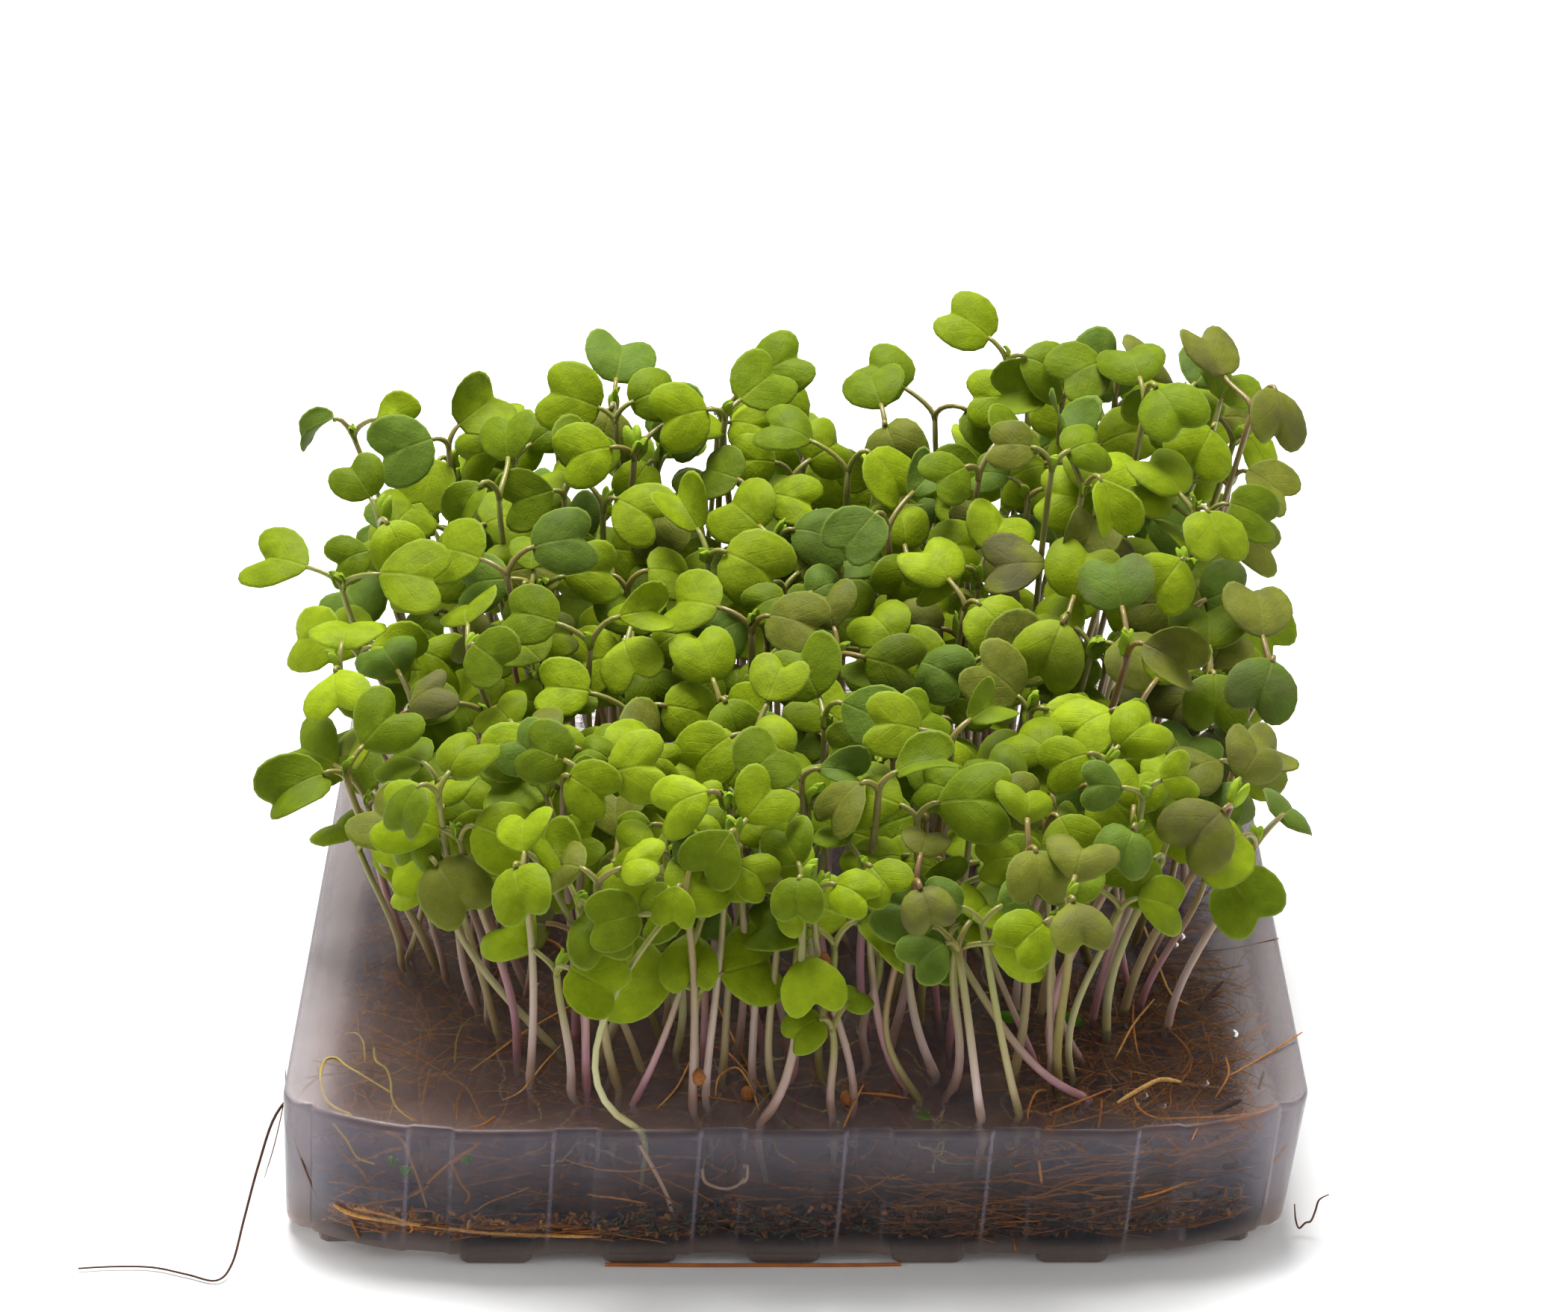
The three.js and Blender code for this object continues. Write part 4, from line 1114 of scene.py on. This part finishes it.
leaf_beds = [Bed() for _ in range(SOWN_ROWS)]
stem_beds = [Bed() for _ in range(SOWN_ROWS)]
root_bed = Bed()
for number, seedling in enumerate(seedlings):
    random = seeded_random(90001 + 17 * number)
    row, stem = seedling["row"], seedling["stem"]
    fork = stem[3]
    flush_chance = 0.07 + 0.3 * float(smooth([fork[0]], 5, 50)[0])
    flushed = 0.3 + 0.6 * random() if random() < flush_chance else 0.12 * random()
    foot_colour = STEM_FEET[seedling.get("tone", int(random() * len(STEM_FEET)))]
    head_colour = blended(STEM_GREEN, STEM_BROWN, [min(1, 0.8 * flushed + 0.45 * random())])[0]

    shares = np.linspace(0, 1, 13)
    above = bezier(stem, shares)
    deep = seedling["root"] - (0, 0, 2.4)
    onward = stem[0] + unit(stem[0] - stem[1]) * 3.2
    below = bezier(np.array([deep, deep + (0, 0, 3), onward, stem[0]]), np.linspace(0, 1, 6)[:-1])
    path = np.vstack([below, above])
    along = np.concatenate([np.linspace(-0.3, -0.05, 5), shares])
    thick = STEM_RADIUS + STEM_RADIUS_SPREAD * random()
    radii = thick * np.interp(along, [-0.3, -0.1, 0, 0.15, 1], [0.4, 0.85, 1.1, 1, 0.86])
    vertices, faces = tube(path, radii, STEM_SIDES)
    ring_tints = blended(foot_colour, head_colour, smooth(along, 0.1, 0.95))
    # Painted shade: below the gel's face the stem is darkened more the deeper it goes; the rings at and
    # just above the face are a little darker and warmer.
    ring_tints[:5, :3] *= np.linspace(0.15, 0.6, 5)[:, None]
    ring_tints[5:7, :3] *= (0.8, 0.72, 0.64)
    stem_beds[row].add(vertices, faces, tint=np.repeat(ring_tints, STEM_SIDES, axis=0))

    tip = unit(above[-1] - above[-2])
    for which, leaf in enumerate(seedling["leaves"]):
        span = math.sqrt(((leaf["foot"] - fork) ** 2).sum())
        start = fork - tip * (0.5 + 0.3 * which)
        control = [start, start + tip * span * 0.3, leaf["foot"] - leaf["along"] * span * 0.36]
        stalk = bezier(np.array([*control, leaf["foot"] + leaf["along"] * 0.35]), np.linspace(0, 1, 7))
        vertices, faces = tube(stalk, np.linspace(0.46, 0.34, 7), STALK_SIDES)
        stalk_tints = blended(head_colour, blended(head_colour, STEM_GREEN, [0.3])[0], shares[:7] * 2)
        stem_beds[row].add(vertices, faces, tint=np.repeat(stalk_tints, STALK_SIDES, axis=0))
        add_blade(leaf_beds[row], leaf, random, leaf_tint(random, flushed), flushed)

    if random() < TRUE_LEAF_CHANCE:
        first = seedling["leaves"][0]
        for _ in range(1 + int(random() * 2)):
            turn = random() * 2 * math.pi
            outward = np.array([math.cos(turn), math.sin(turn), 0.0])
            bud_along = unit(tip + outward * (0.35 + 0.5 * random()))
            bud_normal = unit(outward * -1 + tip * 0.5)
            bud_normal = unit(bud_normal - bud_along * (bud_along @ bud_normal))
            length = 2.0 + 2.6 * random() ** 2
            small = {"foot": fork - tip * 0.3, "along": bud_along, "normal": bud_normal}
            small |= {"across": np.cross(bud_along, bud_normal), "length": length}
            small |= {"width": length * 0.62, "fold": 0.5, "droop": -0.2}
            bud_tint = np.array(BUD_GREEN) * (0.75 + 0.4 * random())
            bud_tint[3] = 1
            add_blade(leaf_beds[row], small, random, bud_tint, 0.0)

    for _ in range(2 if random() < ROOTLET_CHANCE else 0):
        place_now = stem[0] + (seedling["root"] - stem[0]) * (0.35 + 0.5 * random())
        heading = random() * 2 * math.pi
        course = [place_now.copy()]
        for _ in range(7):
            heading += (random() - 0.5) * 0.7
            hop = np.array([math.cos(heading), math.sin(heading), -0.75 + 0.9 * random()]) * 1.5
            course.append(course[-1] + hop)
        course = np.clip(course, (-57, -57, 4.5), (57, 57, 19.5))
        vertices, faces = tube(course, np.linspace(0.13, 0.05, 8), ROOTLET_SIDES)
        pale = blended(srgb(196, 170, 126), srgb(176, 160, 96), [random()])
        root_bed.add(vertices, faces, tint=np.repeat(pale, len(vertices), axis=0))

for row in range(SOWN_ROWS):
    leaves = leaf_beds[row].make(f"seed_leaves_row_{row + 1}", leaf_material)
    stems = stem_beds[row].make(f"stems_row_{row + 1}", stem_material)
    for piece in (leaves, stems):
        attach(piece, "root")
        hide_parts(*row_nodes[row])
roots = root_bed.make("roots", stem_material)
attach(roots, "root")


# ---------------------------------------------------------------------------------------------
# Loose coir strand. One long fibre of the mat that the gel didn't hold: it leaves the left wall
# near the front, drops to the table and trails away from the slab.

STRAND_ROUTE = [(-58, -47.5, 17), (-63.4, -49.6, 17.6), (-66.8, -52.2, 15.4), (-69, -56, 10)]
STRAND_ROUTE += [(-70.6, -61, 5), (-71.8, -65.5, 1.4), (-73.6, -68, 0.45), (-77.5, -66.6, 0.45)]
STRAND_ROUTE += [(-82, -65, 0.45), (-87, -64.8, 0.45), (-91.5, -65.2, 0.45)]
STRAND_RADIUS, STRAND_TIP_RADIUS, STRAND_SHADE = 0.2, 0.13, 0.06


def smooth_route(points, per_span=6):
    """Points on a smooth curve through a route's points."""
    p = np.array([points[0], *points, points[-1]], float)
    route = []
    for i in range(1, len(p) - 2):
        for t in np.linspace(0, 1, per_span, endpoint=False):
            a = 2 * p[i]
            b = p[i + 1] - p[i - 1]
            c = 2 * p[i - 1] - 5 * p[i] + 4 * p[i + 1] - p[i + 2]
            d = 3 * p[i] - p[i - 1] - 3 * p[i + 1] + p[i + 2]
            route.append((a + b * t + c * t * t + d * t**3) / 2)
    return np.array([*route, p[-2]])


strand_bed = Bed()
strand_route = smooth_route(STRAND_ROUTE)
strand_radii = np.linspace(STRAND_RADIUS, STRAND_TIP_RADIUS, len(strand_route))
strand_vertices, strand_faces = tube(strand_route, strand_radii, 6)
strand_bed.add(strand_vertices, strand_faces, shade=np.full(len(strand_vertices), STRAND_SHADE))
strand = strand_bed.make("coir_strand_fine", coir_material)
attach(strand, "root")
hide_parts("coir_strand")


# ---------------------------------------------------------------------------------------------
# Strays. The single fibres, rootlets and twigs that lie in the gel's skin or show through its
# front wall: each is a shade or tint, a radius, and a route through a few points.

STRAY_FIBRES = [
    (0.05, 0.2, [(-62.7, -47, 20.2), (-58.4, -48.6, 20.2), (-53.7, -49.6, 19.9)]),
    (0.2, 0.22, [(-61.8, -48.5, 20), (-61.2, -50.5, 20), (-62.6, -53.4, 20), (-63.6, -56, 19.6)]),
    (0.9, 0.16, [(-41.8, -49.6, 20.1), (-36.1, -42.1, 20.9), (-30.8, -36.5, 21.4), (-26.4, -32.9, 22)]),
    (0.9, 0.14, [(-37.4, -56.7, 19.9), (-34.9, -54.7, 20.5), (-32.6, -48.8, 20.6), (-30.4, -44.4, 21)]),
    (0.6, 0.15, [(-51.2, -43, 19.5), (-47.9, -40.2, 19.5), (-44, -40.2, 19.5), (-40.3, -41.8, 19.2)]),
    (0.35, 0.2, [(-47, -49.5, 20.3), (-47.4, -54.7, 20), (-47.5, -57.6, 19.5)]),
    (0.35, 0.2, [(-42.4, -53.7, 20.2), (-43, -57.1, 19.8), (-42.9, -61.5, 19.6)]),
    (0.45, 0.22, [(-41.4, -63.4, 20.2), (-39.5, -63.2, 20.5), (-38, -61.3, 20.6)]),
    (0.85, 0.22, [
        (-37.4, -19.9, 20.3), (-37, -17.7, 21), (-34.6, -16.9, 21.4), (-31.6, -18.2, 20.8),
        (-30.6, -22.6, 20)
    ]),
    (0.5, 0.2, [(-38.3, -29.7, 20.2), (-35.3, -31.8, 20.2), (-31.6, -36.5, 20.2), (-28.3, -42.1, 19.8)]),
    (0.45, 0.16, [(-40.5, -26.6, 20.4), (-38.6, -22.4, 21.5), (-35.8, -13.1, 22.5)]),
    (0.6, 0.14, [(-11.1, -30.9, 22), (-9.5, -38.2, 21.6), (-7.1, -46.4, 21), (-3.4, -57.2, 20.2)]),
    (0.6, 0.14, [(-11.5, -44.8, 21.2), (-8.6, -47, 21.2), (-4.5, -54.5, 20.3)]),
    (0.85, 0.14, [(-17.6, -59, 20.3), (-15.2, -54.6, 20.8), (-13.6, -48.4, 21)]),
    (0.85, 0.14, [
        (-10.3, -56.1, 20.3), (-9.8, -52.6, 21.2), (-7.5, -51.2, 21.6), (-5.7, -55.1, 21),
        (-4.7, -59.7, 20.3)
    ]),
    (0.4, 0.18, [(-15, -55.2, 20.4), (-11.6, -56.6, 20.6), (-7, -57.4, 20.3)]),
    (0.8, 0.15, [(5.9, -63.8, 20.4), (7.2, -59.4, 21), (8.6, -54.7, 21.2)]),
    (0.7, 0.18, [(7.8, -55.4, 20.4), (11.8, -56.4, 20.7), (14.4, -56.6, 20.2)]),
    (0.05, 0.24, [(-1.4, -61.1, 19.9), (-0.9, -62.6, 20.1), (0.6, -63.4, 19.8)]),
    (1.0, 0.3, [(40.8, -58.1, 20.6), (43.9, -55.7, 21.2), (46.6, -53.8, 21.4), (49.2, -53.8, 21)]),
    (0.75, 0.16, [(29.2, -61.8, 20.2), (29.5, -59.6, 20.9), (30.6, -56.2, 21), (32, -54.9, 20.4)]),
    (0.7, 0.15, [(31.7, -60.4, 20.2), (34.6, -58.8, 20.6), (40.2, -54.9, 20.7)]),
    (0.85, 0.16, [(41.2, -47.1, 20.3), (44, -39.5, 20.9), (47.3, -32.8, 21)]),
    (0.7, 0.15, [
        (43, -56.7, 20.6), (43.4, -59.6, 20.7), (45.1, -61.3, 20.4), (48.1, -61.5, 20.2),
        (57.9, -60.4, 20.2)
    ]),
    (0.5, 0.18, [(38, -63.6, 20), (38.5, -60.5, 20.3), (38.9, -56.7, 20.4)]),
    (0.5, 0.17, [(48.5, -39.2, 20.3), (50.1, -42.8, 20.3), (51, -46.8, 20.3), (49.4, -50.8, 20.2)]),
    (0.55, 0.16, [(44.7, -31.9, 20.4), (44.2, -37.7, 20.5), (44.2, -44.3, 20.4), (44.5, -47.8, 20)]),
    (1.0, 0.16, [
        (44.7, 1.8, 24), (46.9, -14, 22.6), (48.5, -24.9, 21.5), (49.7, -30.7, 20.6),
        (51.9, -33.3, 20.4)
    ]),
    (0.0, 0.26, [(53.1, -34.7, 20.2), (54.6, -31.6, 20.7), (56.8, -28.4, 21.2)]),
    (0.0, 0.42, [(52.8, -60.4, 20.3), (54.9, -58.6, 20.4), (56.6, -57.2, 20.3)]),
    (0.8, 0.15, [(54.7, -52, 20.3), (60.2, -47.2, 20.7), (65.9, -41.7, 21.2)]),
    (0.55, 0.17, [(48.3, -38.9, 20), (50.5, -43.3, 20.2), (51, -48.2, 20.2), (49.1, -53, 20)]),
    (0.75, 0.16, [(55.5, -47, 20.6), (55.5, -51.2, 20.5), (53.3, -56.6, 20.2)]),
    (0.6, 0.15, [(49.4, -61.2, 20), (55.7, -60.8, 20.2), (60.6, -58.2, 20.2)]),
    (0.55, 0.17, [(54, -61.6, 19.8), (58.1, -60.2, 20), (61.4, -57.8, 20)]),
    (0.25, 0.14, [(52.7, -19.1, 20), (59, -18.1, 20.2), (65.4, -15.8, 20.6)]),
    (0.1, 0.17, [(55.9, -24, 19.8), (60.1, -22.5, 20)]),
    (0.1, 0.2, [(59.1, -54.2, 20), (60.2, -50, 20.2)]),
    (0.1, 0.16, [(56.4, -3.2, 19.8), (59.7, 4.5, 19.8)]),
    (0.6, 0.15, [(54, -38.3, 20.1), (58, -37.1, 20.3), (62, -34.9, 20.3)]),
    (0.6, 0.15, [(56.7, -43.6, 20.2), (60.2, -39.9, 20.4), (62.4, -37.4, 20.3)]),
    (0.45, 0.24, [(-39.8, -62.9, 18.1), (-43.9, -62.9, 14.6), (-46.8, -62.6, 11.6)]),
    (0.4, 0.18, [(-43.2, -63, 15.1), (-42.6, -63, 12.4), (-41.4, -63, 10.4), (-42, -63, 9)]),
    (0.7, 0.16, [(-26.5, -63.6, 10.5), (-23, -63.6, 10.1), (-19.1, -63.6, 9.3)]),
    (0.6, 0.13, [(-29.9, -63.3, 15.9), (-25.7, -63.3, 14.4), (-20.5, -63.3, 14), (-15.9, -63.3, 15)]),
    (0.4, 0.14, [(-22.6, -63.2, 13.6), (-18.4, -63.2, 11.3), (-14.6, -63.2, 8.6)]),
    (0.35, 0.16, [(24.5, -63.6, 12.9), (27.5, -63.6, 13.5), (31.1, -63.6, 14), (34.7, -63.6, 15.1)]),
    (0.4, 0.18, [(28.2, -63.4, 10), (30.6, -63.4, 10.2), (34.8, -63.4, 12.1), (41.3, -63.4, 14.2)]),
    (0.55, 0.18, [(37.6, -63.4, 9.9), (41.2, -63.4, 10.2)]),
    (0.75, 0.2, [(43.3, -63.5, 9.8), (46.3, -63.2, 10.5), (49.6, -62.6, 11.7)]),
    (0.4, 0.15, [(22.2, -63.4, 8.7), (28.2, -63.4, 9.6), (34.8, -63.4, 10.7), (41.4, -63.4, 11.5)]),
    (0.3, 0.17, [(35, -63.4, 14.3), (38.3, -63.4, 14.9), (41.9, -63.3, 15.4)]),
    (0.35, 0.22, [(47.8, -61.5, 15.2), (52.2, -60.8, 16.4), (56.7, -59.4, 18.1), (60.6, -57.4, 19.7)]),
    (0.8, 0.2, [(30.7, -63.8, 15.7), (31.1, -63.8, 12.3)]),
    (0.45, 0.22, [(61, -57.4, 11), (62.6, -56.4, 13.6)]),
    (0.95, 0.3, [
        (-59.1, -60.6, 7.1), (-57.6, -61.0, 6.3), (-55.5, -61.6, 5.9), (-52.0, -62.2, 5.7),
        (-48.2, -62.6, 5.3), (-43.4, -63.0, 4.9)
    ]),
    (0.9, 0.26, [
        (-45.8, -63.0, 5.5), (-40.6, -63.3, 4.8), (-34.9, -63.5, 4.5), (-29.1, -63.6, 4.2),
        (-24.8, -63.6, 4.2)
    ]),
    (0.8, 0.22, [
        (-56.4, -61.4, 7.0), (-53.9, -61.9, 6.8), (-51.0, -62.3, 6.2), (-49.0, -62.6, 5.0),
        (-49.4, -62.6, 4.1)
    ]),
    (0.5, 0.2, [(-56.9, -61.3, 5.3), (-56.2, -61.5, 3.4), (-55.9, -61.6, 2.6)]),
    (0.0, 0.5, [(54.1, -60.6, 12.9), (55.4, -60, 12.6), (56.3, -59.6, 12.9)]),
    (0.0, 0.5, [(-47.5, -62.4, 6.7), (-46.2, -62.4, 6.7)]),
    (0.15, 0.13, [(-64.2, -56.6, 19.4), (-63.8, -57.2, 14), (-61.6, -58.6, 7.6), (-59.8, -59.6, 3.4)]),
    (0.25, 0.08, [(-65.6, -50, 20.6), (-65.8, -50, 17), (-67.4, -50.4, 10), (-69, -50.6, 4.8)]),
    (0.15, 0.13, [
        (64.2, -56.6, 4.4), (64.4, -57, 2.4), (64.9, -57, 1), (65.7, -57, 1.8), (66.4, -57, 2.1),
        (66.9, -57, 3.7), (67.3, -57, 5.3), (68.5, -57, 6.1)
    ]),
]
ROOT_GREEN, ROOT_BROWN, ROOT_PALE = srgb(164, 144, 52), srgb(132, 92, 60), srgb(184, 152, 124)
ALGAE = srgb(44, 42, 14)
ALGAE_TUFTS = 90
STRAY_ROOTS = [
    (ROOT_GREEN, 0.24, [
        (-56.3, -60.2, 20.0), (-59.4, -57.4, 20.1), (-60.9, -52.2, 20.3), (-60.8, -47.6, 20.5),
        (-59.4, -46.9, 20.6), (-57.9, -48.6, 20.4), (-55.5, -51, 20.3), (-51.7, -54.8, 19.9)
    ]),
    (ROOT_GREEN, 0.16, [
        (-58.7, -40.4, 20.2), (-57.3, -40.4, 20.4), (-56.2, -42.5, 20.2), (-55.6, -47.3, 20.0)
    ]),
    (ROOT_GREEN, 0.2, [
        (-54.7, -43.9, 20.0), (-54.2, -47.1, 20.1), (-52.7, -49.2, 20.2), (-51.9, -52.3, 20.0),
        (-51.5, -55.9, 19.9), (-50.4, -58.9, 19.8), (-48.4, -60.9, 19)
    ]),
    (ROOT_BROWN, 0.16, [(-51.8, -53.9, 19.4), (-51.3, -57.4, 19.2), (-51.7, -61, 18.8)]),
    (ROOT_GREEN, 0.15, [
        (-44, -47.3, 19.9), (-44, -40.7, 20.2), (-42.6, -36.6, 20.3), (-39.1, -34.6, 20.0)
    ]),
    (ROOT_GREEN, 0.2, [(-58.6, -60, 18.9), (-57, -60.6, 17), (-55.6, -61, 14.5), (-53.4, -61.4, 13.9)]),
    (ROOT_BROWN, 0.3, [
        (-51.8, -62, 18.9), (-49.9, -62.4, 18.3), (-49, -62.5, 15.6), (-47.7, -62.5, 11.3),
        (-47, -62.5, 8)
    ]),
    (ROOT_PALE, 0.26, [
        (-12, -62.6, 13.8), (-11.5, -62.6, 11.8), (-8.7, -62.6, 10.9), (-6.3, -62.6, 12.2),
        (-6, -62.2, 14.4)
    ]),
    (ROOT_PALE, 0.34, [
        (-19.8, -63, 17.8), (-18.6, -63, 15.4), (-17.4, -62.8, 12.6), (-16.4, -62.4, 9.8),
        (-15.7, -62, 6.6)
    ]),
]
for tuft in range(ALGAE_TUFTS):
    random = seeded_random(4400 + tuft)
    spot = np.array([-26 + 28 * random(), -63 + 1.2 * random(), 4.2 + 2.6 * random()])
    if tuft % 3 == 0:
        spot[0] += 60 * random()
    hops = [(1.8 * (random() - 0.5), 0.5 * (random() - 0.5), 1.2 * (random() - 0.5)) for _ in range(5)]
    STRAY_ROOTS.append((ALGAE, 0.2 + 0.2 * random(), [spot, *(spot + np.cumsum(hops, axis=0))]))

stray_bed = Bed()
for shade, radius, points in STRAY_FIBRES:
    route = smooth_route(points)
    taper = np.interp(np.linspace(0, 1, len(route)), [0, 0.2, 0.8, 1], [0.6, 1, 1, 0.5])
    vertices, faces = tube(route, radius * taper, 6)
    stray_bed.add(vertices, faces, shade=np.full(len(vertices), shade))
strays = stray_bed.make("coir_strays", coir_material)
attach(strays, "root")

rootlet_bed = Bed()
for root_tint, radius, points in STRAY_ROOTS:
    route = smooth_route(points)
    vertices, faces = tube(route, radius * np.linspace(1, 0.7, len(route)), 6)
    rootlet_bed.add(vertices, faces, tint=np.tile(root_tint, (len(vertices), 1)))
rootlets = rootlet_bed.make("rootlets", stem_material)
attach(rootlets, "root")


# ---------------------------------------------------------------------------------------------
# Odds and ends. Seed husks still stuck to the stems (a place each), scraps of leaf caught in the
# gel (place and length), air bubbles just under its face (x, y and radius), and the brown water
# that has seeped out beneath the front wall.

HUSKS = [(-12.3, -59.4, 25.2), (-6.2, -56.6, 21), (6.4, -57.6, 20.9), (3.4, -57.4, 41)]
SCRAPS = [(-41.9, -62.9, 15, 1.3), (-51.4, -62, 14.2, 1.2), (-49.9, -62.4, 12.6, 1.3)]
SCRAPS += [(36.4, -35.2, 20.1, 3.2), (15, -60.2, 19.6, 2), (-35.4, -15.2, 20.6, 3), (29, -38, 20.4, 3)]
SCRAP_GREEN = np.array(srgb(72, 116, 24))
BUBBLES = [(51.9, -14, 1.1), (51, -16.4, 0.9), (56.6, -39.6, 1.3), (52.2, -52.4, 0.8), (47.3, -32.6, 0.5)]
BUBBLES += [(44, -55.2, 1), (43, -57.6, 0.7), (-33.6, -27.2, 0.8), (46.4, -58, 0.7), (50.6, -1, 1)]
HUSK_SIZE = (0.85, 0.8, 1.15)


def lump(centre, size, wobble, steps=12):
    """A closed, slightly uneven ball round a place, with a radius for each axis."""
    rings = []
    for turn in np.linspace(0.06, math.pi - 0.06, steps):
        around = np.linspace(0, 2 * math.pi, 2 * steps, endpoint=False)
        swell = 1 + wobble * np.sin(3 * around + 5 * turn) * math.sin(turn)
        ring = np.column_stack([np.cos(around) * swell, np.sin(around) * swell, 0 * around])
        ring = ring * math.sin(turn) - (0, 0, math.cos(turn))
        rings.append(centre + ring * size)
    return ring_surface(rings, True)


husk_bed = Bed()
for centre in HUSKS:
    vertices, faces = lump(np.array(centre), HUSK_SIZE, 0.12)
    husk_bed.add(vertices, faces, shade=np.full(len(vertices), 0.5))
husks = husk_bed.make("seed_husks", coir_material)
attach(husks, "root")

scrap_bed = Bed()
for number, (x, y, z, length) in enumerate(SCRAPS):
    random = seeded_random(777 + number)
    flat = z > 19
    turn = 6.3 * random()
    along = np.array([math.cos(turn), math.sin(turn), 0.1]) if flat else np.array([0.5, 0, 0.8])
    normal = np.array([0.1, -0.2, 1.0]) if flat else np.array([0.1, -1.0, 0.2])
    normal = unit(normal - unit(along) * (unit(along) @ normal))
    scrap = {"foot": np.array([x, y, z]), "along": unit(along), "normal": normal}
    scrap |= {"across": np.cross(unit(along), normal), "length": length, "width": length * 1.1}
    scrap |= {"fold": 0.2, "droop": 0.1}
    add_blade(scrap_bed, scrap, random, SCRAP_GREEN, 0.0)
scraps = scrap_bed.make("leaf_scraps", leaf_material)
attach(scraps, "root")

bubble_material, bubble_surface, _ = new_material("air")
feed(bubble_surface, Base_Color=(1, 1, 1, 1), Roughness=0.02, IOR=0.75, Transmission_Weight=1.0)
bubble_bed = Bed()
for x, y, radius in BUBBLES:
    bubble_bed.add(*lump(np.array([x, y, SLAB_TOP - 0.2 - radius]), radius, 0.03, 16))
bubbles = bubble_bed.make("air_bubbles", bubble_material)
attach(bubbles, "root")

seep_material, seep_surface, seep_place = new_material("seeped_water")
feed(
    seep_surface,
    Base_Color=noise(seep_place, 400, 1).mix(srgb(196, 110, 26), srgb(140, 70, 18)),
    Roughness=0.25,
)
SEEP_RADIUS = 0.24
SEEP_ROUTE = [(-24.4, -64.1, 0.24), (-14, -64.3, 0.26), (-4, -64.3, 0.26), (6, -64.3, 0.24)]
SEEP_ROUTE += [(13.4, -64.1, 0.22)]
seep_route = smooth_route(SEEP_ROUTE)
seep_vertices, seep_faces = tube(seep_route, np.full(len(seep_route), SEEP_RADIUS), 8)
seep = new_object("seeped_water", seep_vertices, seep_faces, seep_material)
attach(seep, "root")
